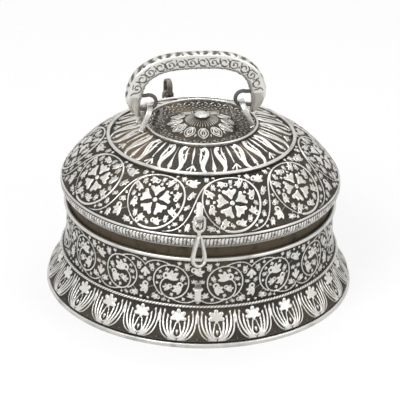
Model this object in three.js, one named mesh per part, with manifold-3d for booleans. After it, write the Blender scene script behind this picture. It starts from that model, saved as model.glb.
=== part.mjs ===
// A round silver betel box: a footed base, a domed lid on a back hinge, a swing handle and a hasp.
// Millimetres, +Z up. The origin is the centre of the foot on the surface it stands on; the hasp is at -Y.
import * as THREE from "three";
import { mergeVertices } from "three/addons/utils/BufferGeometryUtils.js";
import Module from "manifold-3d";

const wasm = await Module();
wasm.setup();

// Driving sizes of the base
const footRadius = 95;
const girdleRadius = 86.3;
const girdleHeight = 22.6;
const waistRadius = 83.4;
const rimHeight = 53.4;
const sheet = 1.3;
const seatGap = 0.3;
const rimWire = 1.35;
const collarStep = 0.5;
const girdleWire = 0.9;
const footWire = 1.7;
const floorHeight = 9;
const floorThickness = 1.4;
const collarTop = 63;
const collarDepth = 16;

// Driving sizes of the lid
const lidRadius = 88.4;
const lidEdgeHeight = 70.4;
const lidSkirtHeight = 60.8;
const shoulderRadius = 57;
const shoulderHeight = 95.4;
const innerRingRadius = 34;
const innerRingHeight = 104.4;
const bossRadius = 22;
const bossTop = 109.2;
const edgeWire = 0.8;
const shoulderWire = 1.1;
const buttonRadius = 4.6;
const petals = 16;

// Handle, staples and hasp
const handleShift = -4;
const handleYaw = THREE.MathUtils.degToRad(9.5);
const handlePivotHeight = 112;
const handleHalfSpan = 34.6;
const handleHalfWidth = 43.3;
const handleTop = 149.8;
const barHeight = 10.4;
const barDepth = 9;
const eyeWire = 0.95;
const taperShare = 0.2;
const stapleStrap = 1.1;
const stapleWidth = 4.2;
const stapleSpan = 15;
const lockWidth = 3.9;
const lidStapleTilt = THREE.MathUtils.degToRad(38);
const haspPivot = new THREE.Vector2(87.4, 82.2);
const haspLean = THREE.MathUtils.degToRad(11.5);
const haspTop = 84.8;
const haspBottom = 53.2;
const haspEyeLength = 10.8;
const haspEyeWidth = 7.4;
const haspLoopLength = 13.4;
const haspLoopWidth = 9.2;
const haspStrap = 1.1;
const haspDepth = 1.6;
const hingePinRadius = 1.1;
const knuckleRadius = 2.3;
const hingeLeaf = 1.5;
const knuckleLength = 8;
const knuckleCount = 5;
const runningGap = 0.35;

// Facets
const around = 48;
const wireSides = 6;

const silver = { metalness: 0.9, roughness: 0.35 };
const brightSilver = new THREE.MeshStandardMaterial({ color: 0xd8d5cd, ...silver });
const chasedSilver = new THREE.MeshStandardMaterial({ color: 0xa8a59b, metalness: 0.9, roughness: 0.45 });
const darkSilver = new THREE.MeshStandardMaterial({ color: 0x7c776c, metalness: 0.9, roughness: 0.5 });

const box = new THREE.Group();

function addPiece(name, geometry, material) {
  const mesh = new THREE.Mesh(geometry, material);
  mesh.name = name;
  box.add(mesh);
  return mesh;
}

// A solid of revolution about Z from [radius, height] points that close on themselves or end on the axis.
function turned(points, segments = around) {
  const outline = points.map(([radius, height]) => new THREE.Vector2(radius, height));
  const first = points[0];
  const last = points[points.length - 1];
  const onAxis = first[0] === 0 && last[0] === 0;
  if (!onAxis) outline.push(new THREE.Vector2(first[0], first[1]));
  const geometry = new THREE.LatheGeometry(outline, segments);
  geometry.rotateX(Math.PI / 2);
  return closed(geometry);
}

// Merges shared vertices, drops collapsed faces and turns the surface outwards.
function closed(geometry) {
  const bare = new THREE.BufferGeometry();
  bare.setAttribute("position", geometry.getAttribute("position").clone());
  if (geometry.getIndex()) bare.setIndex(geometry.getIndex().clone());
  const merged = mergeVertices(bare, 1e-4);
  const index = merged.getIndex().array;
  const kept = [];
  for (let i = 0; i < index.length; i += 3) {
    const [a, b, c] = [index[i], index[i + 1], index[i + 2]];
    if (a !== b && b !== c && c !== a) kept.push(a, b, c);
  }
  merged.setIndex(kept);
  if (volumeOf(merged) < 0) {
    for (let i = 0; i < kept.length; i += 3) [kept[i], kept[i + 1]] = [kept[i + 1], kept[i]];
    merged.setIndex(kept);
  }
  merged.computeVertexNormals();
  return merged;
}

function volumeOf(geometry) {
  const position = geometry.getAttribute("position");
  const index = geometry.getIndex().array;
  const [a, b, c] = [new THREE.Vector3(), new THREE.Vector3(), new THREE.Vector3()];
  let volume = 0;
  for (let i = 0; i < index.length; i += 3) {
    a.fromBufferAttribute(position, index[i]);
    b.fromBufferAttribute(position, index[i + 1]);
    c.fromBufferAttribute(position, index[i + 2]);
    volume += a.dot(b.cross(c)) / 6;
  }
  return volume;
}

function toSolid(geometry) {
  const ready = closed(geometry);
  return new wasm.Manifold(new wasm.Mesh({
    numProp: 3,
    vertProperties: new Float32Array(ready.getAttribute("position").array),
    triVerts: new Uint32Array(ready.getIndex().array),
  }));
}

function fromSolid(solid) {
  const mesh = solid.getMesh();
  const geometry = new THREE.BufferGeometry();
  geometry.setAttribute("position", new THREE.BufferAttribute(new Float32Array(mesh.vertProperties), 3));
  geometry.setIndex(new THREE.BufferAttribute(new Uint32Array(mesh.triVerts), 1));
  geometry.computeVertexNormals();
  return geometry;
}

// A ring of round wire about Z.
function wireRing(radius, height, wire, segments = around) {
  const points = [];
  for (let i = 0; i < wireSides; i += 1) {
    const turn = (i / wireSides) * 2 * Math.PI;
    points.push([radius + wire * Math.cos(turn), height + wire * Math.sin(turn)]);
  }
  return turned(points, segments);
}

// A bar swept along centre points in a plane: section(t) gives the half sizes across and through the plane.
function swept(centres, section, across, through, sides = 10, power = 2, loop = false) {
  const count = centres.length;
  const vertices = [];
  for (let i = 0; i < count; i += 1) {
    const before = centres[loop ? (i - 1 + count) % count : Math.max(i - 1, 0)];
    const after = centres[loop ? (i + 1) % count : Math.min(i + 1, count - 1)];
    const along = after.clone().sub(before).normalize();
    const side = across ?? new THREE.Vector3().crossVectors(through, along).normalize();
    const [halfAcross, halfThrough] = section(i / (count - 1));
    for (let j = 0; j < sides; j += 1) {
      const turn = (j / sides) * 2 * Math.PI + Math.PI / sides;
      const shape = (value) => Math.sign(value) * Math.abs(value) ** (2 / power);
      vertices.push(centres[i].clone()
        .addScaledVector(side, halfAcross * shape(Math.cos(turn)))
        .addScaledVector(through, halfThrough * shape(Math.sin(turn))));
    }
  }
  const faces = [];
  const stretches = loop ? count : count - 1;
  for (let i = 0; i < stretches; i += 1) {
    const next = (i + 1) % count;
    for (let j = 0; j < sides; j += 1) {
      const k = (j + 1) % sides;
      faces.push(i * sides + j, i * sides + k, next * sides + k);
      faces.push(i * sides + j, next * sides + k, next * sides + j);
    }
  }
  if (!loop) {
    for (let j = 1; j < sides - 1; j += 1) {
      const end = (count - 1) * sides;
      faces.push(0, j + 1, j, end, end + j, end + j + 1);
    }
  }
  const geometry = new THREE.BufferGeometry().setFromPoints(vertices);
  geometry.setIndex(faces);
  return closed(geometry);
}

// The height of the lid's outer surface at a radius, by the same curve that the dome is turned from.
const domeCurve = new THREE.CubicBezierCurve(
  new THREE.Vector2(lidRadius - 0.9, lidEdgeHeight + 0.6),
  new THREE.Vector2(lidRadius - 1.6, lidEdgeHeight + 12),
  new THREE.Vector2(shoulderRadius + 16, shoulderHeight - 4.2),
  new THREE.Vector2(shoulderRadius, shoulderHeight),
);
const crownCurve = new THREE.QuadraticBezierCurve(
  new THREE.Vector2(shoulderRadius, shoulderHeight),
  new THREE.Vector2((shoulderRadius + innerRingRadius) / 2, shoulderHeight + 6.4),
  new THREE.Vector2(innerRingRadius, innerRingHeight),
);
const valleyDepth = 2.4;
const bossCurve = new THREE.CubicBezierCurve(
  new THREE.Vector2(innerRingRadius, innerRingHeight),
  new THREE.Vector2(bossRadius + 5, innerRingHeight - valleyDepth - 1),
  new THREE.Vector2(bossRadius - 3, innerRingHeight - valleyDepth + 1.6),
  new THREE.Vector2(buttonRadius, bossTop),
);

function domeOutline(inset) {
  const points = [
    ...domeCurve.getPoints(6),
    ...crownCurve.getPoints(3).slice(1),
    ...bossCurve.getPoints(4).slice(1),
  ];
  const outline = points.map((point, i) => {
    const before = points[Math.max(i - 1, 0)];
    const after = points[Math.min(i + 1, points.length - 1)];
    const along = after.clone().sub(before).normalize();
    return [point.x - along.y * inset, point.y + along.x * inset];
  });
  return outline;
}

function domeHeight(radius) {
  const outline = domeOutline(0);
  for (let i = 0; i < outline.length - 1; i += 1) {
    const [outerRadius, outerHeight] = outline[i];
    const [innerRadius, innerHeight] = outline[i + 1];
    if (radius <= outerRadius && radius >= innerRadius) {
      const share = (outerRadius - radius) / (outerRadius - innerRadius);
      return outerHeight + share * (innerHeight - outerHeight);
    }
  }
  return bossTop;
}

// The base: one raised sheet with a concave wall and a bell-shaped foot.
function baseOutline(inset) {
  const wall = new THREE.QuadraticBezierCurve(
    new THREE.Vector2(waistRadius, rimHeight - rimWire - seatGap),
    new THREE.Vector2(waistRadius - 0.4, girdleHeight + 14),
    new THREE.Vector2(girdleRadius, girdleHeight),
  );
  const foot = new THREE.CubicBezierCurve(
    new THREE.Vector2(girdleRadius, girdleHeight),
    new THREE.Vector2(girdleRadius + 2.2, girdleHeight - 9),
    new THREE.Vector2(footRadius - 1.4, girdleHeight - 10.5),
    new THREE.Vector2(footRadius - 1, footWire * 2 + seatGap),
  );
  const points = [...wall.getPoints(4), ...foot.getPoints(5).slice(1)];
  return points.map((point) => [point.x - inset, point.y]);
}

// The radius of an outline at a height, between its two nearest points.
function radiusAt(outline, height) {
  for (let i = 0; i < outline.length - 1; i += 1) {
    const [upperRadius, upper] = outline[i];
    const [lowerRadius, lower] = outline[i + 1];
    if (height <= upper && height >= lower) {
      return lowerRadius + (upperRadius - lowerRadius) * (height - lower) / (upper - lower);
    }
  }
  return outline[outline.length - 1][0];
}

function makeBase() {
  addPiece("base_wall", turned([...baseOutline(0), ...baseOutline(sheet).reverse()]), chasedSilver);
  addPiece("foot_ring", wireRing(footRadius - footWire, footWire * Math.cos(Math.PI / wireSides),
    footWire), brightSilver);
  addPiece("girdle_wire", wireRing(girdleRadius + girdleWire + seatGap, girdleHeight, girdleWire),
    brightSilver);
  const collarRadius = waistRadius - sheet - seatGap;
  const collarLip = collarRadius - collarStep;
  addPiece("rim_wire", wireRing(collarLip + seatGap + rimWire, rimHeight, rimWire), brightSilver);
  const floorRadius = radiusAt(baseOutline(sheet), floorHeight + floorThickness) - seatGap;
  addPiece("base_floor", turned([
    [0, floorHeight],
    [floorRadius, floorHeight],
    [floorRadius, floorHeight + floorThickness],
    [0, floorHeight + floorThickness],
  ]), darkSilver);
  addPiece("base_collar", turned([
    [collarRadius, collarTop - collarDepth],
    [collarRadius, rimHeight - rimWire * 1.7],
    [collarLip, rimHeight - rimWire],
    [collarLip, collarTop],
    [collarLip - sheet, collarTop],
    [collarLip - sheet, collarTop - collarDepth],
  ]), darkSilver);
}

function makeLid() {
  const outer = domeOutline(0);
  const inner = domeOutline(sheet);
  addPiece("lid_dome", turned([...outer, [buttonRadius - 1.4, bossTop],
    [buttonRadius - 1.4, bossTop - sheet], ...inner.reverse()]), chasedSilver);
  const bandTop = lidEdgeHeight - seatGap - sheet;
  const skirt = lidRadius - 4.6;
  const bulge = new THREE.CubicBezierCurve(
    new THREE.Vector2(lidRadius - 0.9, bandTop),
    new THREE.Vector2(lidRadius + 0.5, bandTop - 2.6),
    new THREE.Vector2(lidRadius - 1.2, lidSkirtHeight + 2.6),
    new THREE.Vector2(skirt, lidSkirtHeight),
  );
  const ledge = waistRadius - sheet * 3 - 2.4;
  addPiece("lid_band", turned([
    ...bulge.getPoints(6).map((point) => [point.x, point.y]),
    [skirt - sheet, lidSkirtHeight],
    [skirt - sheet, collarTop + seatGap],
    [ledge, collarTop + seatGap],
    [ledge, collarTop + seatGap + sheet],
    [skirt, collarTop + seatGap + sheet],
    [lidRadius - 3, bandTop],
  ]), chasedSilver);
  addPiece("lid_edge_wire", wireRing(lidRadius - 1.2, lidEdgeHeight - edgeWire + 0.1, edgeWire),
    brightSilver);
  addPiece("shoulder_wire", wireRing(shoulderRadius, shoulderHeight + shoulderWire + seatGap + 0.1,
    shoulderWire), brightSilver);
  addPiece("inner_ring_wire", wireRing(innerRingRadius, innerRingHeight + 1.1, 0.7), brightSilver);
  const stem = buttonRadius - 1.4 - runningGap;
  addPiece("boss_button", turned([
    [0, bossTop - sheet - 1.6],
    [stem + 1.6, bossTop - sheet - 1.6],
    [stem + 1.6, bossTop - sheet - seatGap],
    [stem, bossTop - sheet - seatGap],
    [stem, bossTop + seatGap],
    [buttonRadius, bossTop + seatGap],
    [buttonRadius * 0.86, bossTop + 1.5],
    [buttonRadius * 0.4, bossTop + 2.2],
    [0, bossTop + 2.3],
  ], 28), brightSilver);
}

// An arch of flat strap in a vertical plane, from one foot over its top to the other.
function strapArch(feet, top, span, width, strap) {
  const half = span / 2;
  const shape = new THREE.Shape();
  shape.moveTo(-half, feet);
  shape.lineTo(-half, top - half);
  shape.absarc(0, top - half, half, Math.PI, 0, true);
  shape.lineTo(half, feet);
  shape.lineTo(half - strap, feet);
  shape.lineTo(half - strap, top - half);
  shape.absarc(0, top - half, half - strap, 0, Math.PI, false);
  shape.lineTo(-half + strap, feet);
  shape.closePath();
  const geometry = new THREE.ExtrudeGeometry(shape, { depth: width, bevelEnabled: false, curveSegments: 8 });
  geometry.translate(0, 0, -width / 2);
  return geometry;
}

function turnedAbout(solid, yaw) {
  const geometry = fromSolid(solid);
  geometry.rotateZ(yaw);
  return toSolid(geometry);
}

// A handle staple: an arch across Y whose top leans towards the lid's centre.
function makeStaple(name, side, footAt, topAt, top, width, span, material, teeth = 0) {
  const footHeight = domeHeight(Math.abs(footAt)) + seatGap + 0.2;
  const geometry = strapArch(footHeight - 2, top, span, width, stapleStrap);
  geometry.applyMatrix4(new THREE.Matrix4().makeBasis(
    new THREE.Vector3(0, 1, 0), new THREE.Vector3(0, 0, 1), new THREE.Vector3(1, 0, 0)));
  const lean = (footAt - topAt) / (top - footHeight);
  geometry.applyMatrix4(new THREE.Matrix4().set(
    1, 0, -lean * side, handleShift + side * (footAt + lean * footHeight),
    0, 1, 0, 0,
    0, 0, 1, 0,
    0, 0, 0, 1));
  let solid = toSolid(geometry);
  for (let i = 0; i < teeth; i += 1) {
    const turn = Math.PI * (i + 0.5) / teeth;
    const bead = new THREE.BoxGeometry(width * 3, 0.7, 0.7);
    bead.rotateX(turn);
    bead.translate(handleShift + side * topAt, (span / 2) * Math.cos(turn), top - span / 2 + (span / 2) * Math.sin(turn));
    solid = solid.subtract(toSolid(bead));
  }
  solid = turnedAbout(solid, handleYaw).subtract(lidBlock());
  addPiece(name, fromSolid(solid), material);
}

function makeHandleStaples() {
  for (const [label, side] of [["left", -1], ["right", 1]]) {
    makeStaple(`${label}_staple`, side, 33.5, 28, 118.4, stapleWidth, stapleSpan, brightSilver);
    makeStaple(`${label}_beaded_strap`, side, 24.4, 21.4, 114.6, 1.7, stapleSpan - 1, darkSilver, 9);
  }
}

// The handle: a flat-sided bar that tapers to a wire, passes under each staple and curls back as an eye.
function makeHandle() {
  const sideAt = handleHalfWidth - barHeight / 2;
  const topAt = handleTop - barHeight / 2;
  const arm = (side) => [
    new THREE.Vector3(side * handleHalfSpan, 0, handlePivotHeight - 1.4),
    new THREE.Vector3(side * (sideAt - 0.6), 0, handlePivotHeight + 5.4),
    new THREE.Vector3(side * sideAt, 0, handlePivotHeight + 13),
    new THREE.Vector3(side * (sideAt - 4.6), 0, topAt - 9.6),
    new THREE.Vector3(side * (sideAt - 16), 0, topAt - 2.2),
  ];
  const path = new THREE.CatmullRomCurve3([
    ...arm(-1),
    new THREE.Vector3(0, 0, topAt),
    ...arm(1).reverse(),
  ], false, "centripetal");
  const steps = 36;
  const taper = (t) => {
    const share = Math.min(1, Math.min(t, 1 - t) / taperShare) ** 0.72;
    return [
      eyeWire + (barHeight / 2 - eyeWire) * share,
      eyeWire + (barDepth / 2 - eyeWire) * share,
    ];
  };
  const through = new THREE.Vector3(0, 1, 0);
  let solid = toSolid(swept(path.getPoints(steps), taper, null, through, 10, 2.7));
  for (const side of [-1, 1]) {
    const eye = new THREE.CatmullRomCurve3([
      new THREE.Vector3(side * (handleHalfSpan + 0.6), 0, handlePivotHeight - 0.7),
      new THREE.Vector3(side * 31, 0, handlePivotHeight - 0.5),
      new THREE.Vector3(side * 27.6, 0, handlePivotHeight + 0.3),
      new THREE.Vector3(side * 25.2, 0, handlePivotHeight + 2.2),
      new THREE.Vector3(side * 24.4, 0, handlePivotHeight + 5.2),
      new THREE.Vector3(side * 25, 0, handlePivotHeight + 8.8),
      new THREE.Vector3(side * 27.6, 0, handlePivotHeight + 11.6),
      new THREE.Vector3(side * 31, 0, handlePivotHeight + 12),
      new THREE.Vector3(side * 36.6, 0, handlePivotHeight + 9.4),
    ], false, "centripetal");
    solid = solid.add(toSolid(swept(eye.getPoints(20), () => [eyeWire, eyeWire], null, through, 6)));
  }
  const geometry = fromSolid(solid);
  geometry.translate(handleShift, 0, 0);
  geometry.rotateZ(handleYaw);
  addPiece("handle", geometry, brightSilver);
}

// The solids that staples are trimmed against, so that their feet follow the sheet with a seat gap.
function lidBlock() {
  return toSolid(turned([
    ...domeOutline(0).map(([radius, height]) => [radius + seatGap * 0.6, height + seatGap]),
    [0, bossTop + seatGap],
    [0, lidEdgeHeight],
    [lidRadius - 0.9, lidEdgeHeight],
  ]));
}

function baseBlock() {
  const outer = baseOutline(-seatGap);
  return toSolid(turned([[0, outer[0][1]], ...outer, [0, outer[outer.length - 1][1]]]));
}

// A staple at the front: an arch whose feet stand one above the other and whose strap leans by tilt.
function frontStaple(name, foot, tilt, span, reach, block) {
  const half = span / 2;
  const corner = 2;
  const outer = new THREE.Shape();
  outer.moveTo(-4, -half);
  outer.lineTo(reach - corner, -half);
  outer.quadraticCurveTo(reach, -half, reach, corner - half);
  outer.lineTo(reach, half - corner);
  outer.quadraticCurveTo(reach, half, reach - corner, half);
  outer.lineTo(-4, half);
  outer.lineTo(-4, half - stapleStrap);
  outer.lineTo(reach - corner, half - stapleStrap);
  outer.lineTo(reach - stapleStrap, half - corner);
  outer.lineTo(reach - stapleStrap, corner - half);
  outer.lineTo(reach - corner, stapleStrap - half);
  outer.lineTo(-4, stapleStrap - half);
  outer.closePath();
  const geometry = new THREE.ExtrudeGeometry(outer, { depth: lockWidth, bevelEnabled: false, curveSegments: 4 });
  geometry.translate(0, 0, -lockWidth / 2);
  geometry.rotateZ(tilt);
  geometry.applyMatrix4(new THREE.Matrix4().makeBasis(
    new THREE.Vector3(0, -1, 0), new THREE.Vector3(0, 0, 1), new THREE.Vector3(-1, 0, 0)));
  geometry.translate(0, -foot.x, foot.y);
  addPiece(name, fromSolid(toSolid(geometry).subtract(block)), brightSilver);
}

// A flat ring of strap with straight sides and round ends, standing in the XZ plane.
function longRing(top, bottom, width, strap, depth) {
  const half = width / 2;
  const shape = new THREE.Shape();
  shape.absarc(0, top - half, half, 0, Math.PI, false);
  shape.absarc(0, bottom + half, half, Math.PI, 2 * Math.PI, false);
  shape.closePath();
  const hole = new THREE.Path();
  hole.absarc(0, top - half, half - strap, 0, Math.PI, false);
  hole.absarc(0, bottom + half, half - strap, Math.PI, 2 * Math.PI, false);
  hole.closePath();
  shape.holes.push(hole);
  const geometry = new THREE.ExtrudeGeometry(shape, { depth, bevelEnabled: false, curveSegments: 8 });
  geometry.translate(0, 0, -depth / 2);
  geometry.rotateX(Math.PI / 2);
  return geometry;
}

function makeHasp() {
  frontStaple("lid_staple", new THREE.Vector2(80.8, 82), lidStapleTilt, 10.4, 9.6, lidBlock());
  frontStaple("base_staple", new THREE.Vector2(84.4, 32.6), 0, 9.6, 7.6, baseBlock());
  const eye = toSolid(longRing(haspTop, haspTop - haspEyeLength, haspEyeWidth, haspStrap, haspDepth));
  const loop = toSolid(longRing(haspBottom + haspLoopLength, haspBottom, haspLoopWidth, haspStrap, haspDepth));
  const neckLength = haspTop - haspEyeLength - haspBottom - haspLoopLength + haspStrap;
  const neck = new THREE.BoxGeometry(haspStrap * 2, haspDepth, neckLength);
  neck.translate(0, 0, haspBottom + haspLoopLength + neckLength / 2 - haspStrap / 2);
  const geometry = fromSolid(eye.add(loop).add(toSolid(neck)));
  geometry.translate(0, 0, -haspPivot.y);
  geometry.rotateX(-haspLean);
  geometry.translate(0, -haspPivot.x, haspPivot.y);
  addPiece("hasp", geometry, brightSilver);
}

// A small strap ring standing in a staple on the back of the shoulder.
const rear = { angle: 110, radius: 64, ringTop: 107.6, barHeight: 7.2 };

function makeRearRing() {
  const turn = THREE.MathUtils.degToRad(rear.angle);
  const place = (geometry) => {
    geometry.rotateZ(turn - Math.PI / 2);
    geometry.translate(rear.radius * Math.cos(turn), rear.radius * Math.sin(turn), 0);
    return geometry;
  };
  const foot = domeHeight(rear.radius);
  const arch = strapArch(foot - 3, foot + rear.barHeight, 7.2, 3, stapleStrap);
  arch.rotateX(Math.PI / 2);
  addPiece("rear_staple", fromSolid(toSolid(place(arch)).subtract(lidBlock())), darkSilver);
  const ring = longRing(rear.ringTop, foot + 1.4, 9.2, 1.3, 3.4);
  ring.rotateZ(Math.PI / 2);
  addPiece("rear_ring", closed(place(ring)), darkSilver);
}

// The hinge at the back: five knuckles, taken in turn by the base leaf and the lid leaf, on one pin.
const hingeY = lidRadius + 3.8;
const hingeZ = 57.2;

// A curved plate that follows a round wall across the hinge's width.
function hingePlate(radius, low, high, span) {
  const ring = toSolid(turned([[radius, low], [radius + hingeLeaf, low], [radius + hingeLeaf, high],
    [radius, high]], around * 2));
  const window = new THREE.BoxGeometry(span, radius, (high - low) * 2);
  window.translate(0, radius, (low + high) / 2);
  return ring.intersect(toSolid(window));
}

function makeHinge() {
  const pitch = knuckleLength + runningGap;
  const span = knuckleCount * pitch - runningGap;
  const boreRadius = hingePinRadius + seatGap;
  const alongX = (radius, length, x) => {
    const rod = new THREE.CylinderGeometry(radius, radius, length, 16);
    rod.rotateZ(Math.PI / 2);
    rod.translate(x, hingeY, hingeZ);
    return toSolid(rod);
  };
  const bore = alongX(boreRadius, span + 8, 0);
  const leaf = (first, plate, webLow, webHigh, wallRadius) => {
    let solid = plate;
    for (let i = first; i < knuckleCount; i += 2) {
      const x = -span / 2 + i * pitch + knuckleLength / 2;
      const web = new THREE.BoxGeometry(knuckleLength, hingeY - wallRadius + 4, webHigh - webLow);
      web.translate(x, (hingeY + wallRadius - 4) / 2, (webLow + webHigh) / 2);
      solid = solid.add(alongX(knuckleRadius, knuckleLength, x)).add(toSolid(web));
    }
    const wall = new THREE.CylinderGeometry(wallRadius, wallRadius, 200, around * 2);
    wall.rotateX(Math.PI / 2);
    return fromSolid(solid.subtract(toSolid(wall)).subtract(bore));
  };
  const lidWall = lidRadius + seatGap * 2;
  const baseWall = waistRadius + rimWire + seatGap;
  const lidPlate = hingePlate(lidWall, hingeZ + 3.6, lidEdgeHeight + 1, span);
  const basePlate = hingePlate(baseWall, 38, hingeZ - 2.6, span);
  addPiece("hinge_lid_leaf", leaf(1, lidPlate, hingeZ + 1.4, hingeZ + 5, lidWall), brightSilver);
  addPiece("hinge_base_leaf", leaf(0, basePlate, hingeZ - 4.4, hingeZ - 1.2, baseWall), brightSilver);
  const head = hingePinRadius + 0.8;
  const pin = alongX(hingePinRadius, span + 3, 0)
    .add(alongX(head, 1, span / 2 + 0.9))
    .add(alongX(head, 1, -span / 2 - 0.9));
  addPiece("hinge_pin", fromSolid(pin), brightSilver);
}

makeBase();
makeLid();
makeHandleStaples();
makeHandle();
makeHasp();
makeRearRing();
makeHinge();

export default box;
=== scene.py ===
import math

import bpy
import numpy as np
from bpy.props import (
    FloatProperty,
    FloatVectorProperty,
    IntProperty,
    PointerProperty,
)
from mathutils import Matrix, Vector


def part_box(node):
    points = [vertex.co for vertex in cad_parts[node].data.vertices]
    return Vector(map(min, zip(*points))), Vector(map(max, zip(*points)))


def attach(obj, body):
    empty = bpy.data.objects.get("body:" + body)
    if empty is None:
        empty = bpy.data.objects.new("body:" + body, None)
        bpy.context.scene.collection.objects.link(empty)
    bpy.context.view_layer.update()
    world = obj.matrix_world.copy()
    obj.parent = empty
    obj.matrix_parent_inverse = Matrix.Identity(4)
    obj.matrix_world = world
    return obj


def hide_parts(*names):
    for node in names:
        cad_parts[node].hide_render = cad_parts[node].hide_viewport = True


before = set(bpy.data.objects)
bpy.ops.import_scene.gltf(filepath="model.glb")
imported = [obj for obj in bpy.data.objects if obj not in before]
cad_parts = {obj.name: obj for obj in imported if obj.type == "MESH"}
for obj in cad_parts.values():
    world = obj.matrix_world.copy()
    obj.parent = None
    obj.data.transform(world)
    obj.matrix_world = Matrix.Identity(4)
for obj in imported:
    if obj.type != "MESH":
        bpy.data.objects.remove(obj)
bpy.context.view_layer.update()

bl_info = {
    "name": "Chased silver box",
    "version": (1, 0, 0),
    "blender": (4, 5, 0),
    "location": "View3D > Sidebar > Silver box",
    "description": "Builds a round chased silver box with a domed lid, a swing handle and a hasp",
    "category": "Add Mesh",
}

MM = 0.001
TAU = 2 * math.pi


def ring_of(node):
    """The middle radius, middle height and wire radius of a turned wire node, in millimetres."""
    low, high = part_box(node)
    wire = (high.z - low.z) / MM / 2 / math.cos(math.pi / 6)
    return high.x / MM - wire, (low.z + high.z) / MM / 2, wire


FOOT_R, FOOT_Z, FOOT_WIRE = ring_of("foot_ring")
GIRDLE_R, GIRDLE_Z, GIRDLE_WIRE = ring_of("girdle_wire")
RIM_R, RIM_Z, RIM_WIRE = ring_of("rim_wire")
EDGE_R, EDGE_Z, EDGE_WIRE = ring_of("lid_edge_wire")
SHOULDER_R, SHOULDER_Z, SHOULDER_WIRE = ring_of("shoulder_wire")
INNER_R, INNER_Z, INNER_WIRE = ring_of("inner_ring_wire")


class BoxSizes(bpy.types.PropertyGroup):
    """The sizes of the chased work, in metres or counts."""

    relief: FloatProperty(
        name="Relief height", description="How far the chased leaves stand above their ground",
        default=0.0008, min=0.0002, max=0.002, unit="LENGTH",
    )
    sheet: FloatProperty(
        name="Sheet thickness", description="Thickness of the raised silver sheet",
        default=0.0013, min=0.0005, max=0.003, unit="LENGTH",
    )
    around: IntProperty(
        name="Steps around", description="Mesh steps round the chased bands",
        default=1152, min=96, max=2304,
    )
    row_step: FloatProperty(
        name="Row step", description="Distance between mesh rows on the chased bands",
        default=0.00055, min=0.0002, max=0.002, unit="LENGTH",
    )
    rope_turns: IntProperty(
        name="Rope turns", description="Strands that cross the front of the girdle rope, all round",
        default=260, min=60, max=400,
    )


class BoxColours(bpy.types.PropertyGroup):
    """The colours of the silver and the studio."""

    bright: FloatVectorProperty(
        name="Bright silver", description="Rubbed high points and plain wires",
        subtype="COLOR", size=3, min=0, max=1, default=(0.76, 0.745, 0.71),
    )
    ground: FloatVectorProperty(
        name="Oxidised ground", description="The dark ground between the leaves",
        subtype="COLOR", size=3, min=0, max=1, default=(0.034, 0.030, 0.025),
    )
    warm: FloatVectorProperty(
        name="Warm tarnish", description="Brown tarnish in sheltered places",
        subtype="COLOR", size=3, min=0, max=1, default=(0.20, 0.15, 0.095),
    )
    floor: FloatVectorProperty(
        name="Floor", description="The pale studio floor",
        subtype="COLOR", size=3, min=0, max=1, default=(0.9, 0.9, 0.9),
    )


def sizes():
    """The sizes that the scene holds."""
    return bpy.context.scene.silver_sizes


def colours():
    """The colours that the scene holds."""
    return bpy.context.scene.silver_colours


# Shader sockets as Python values


def feed(tree, socket, item):
    """Links a value to a socket, or sets the socket itself to a number or a colour."""
    if isinstance(item, Value):
        tree.links.new(item.socket, socket)
    elif isinstance(item, tuple) and len(item) == 3:
        socket.default_value = (*item, 1.0)
    else:
        socket.default_value = item


class Value:
    """A shader socket that can be used in sums, in one node tree."""

    def __init__(self, tree, socket):
        self.tree = tree
        self.socket = socket

    def math(self, operation, *others, clamp=False):
        """One step of maths on this value and others."""
        node = self.tree.nodes.new("ShaderNodeMath")
        node.operation = operation
        node.use_clamp = clamp
        for place, item in enumerate((self, *others)):
            feed(self.tree, node.inputs[place], item)
        return Value(self.tree, node.outputs[0])

    def __add__(self, other):
        return self.math("ADD", other)

    __radd__ = __add__

    def __mul__(self, other):
        return self.math("MULTIPLY", other)

    __rmul__ = __mul__

    def __sub__(self, other):
        return self.math("SUBTRACT", other)

    def __rsub__(self, other):
        return (self * -1) + other

    def clamped(self):
        """This value, held between 0 and 1."""
        return self.math("ADD", 0.0, clamp=True)

    def smooth(self, low, high):
        """0 below low, 1 above high, and a soft step between."""
        return Shader.node(
            self.tree, "ShaderNodeMapRange", {"interpolation_type": "SMOOTHSTEP"},
            {"Value": self, "From Min": low, "From Max": high}, "Result",
        )


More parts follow.
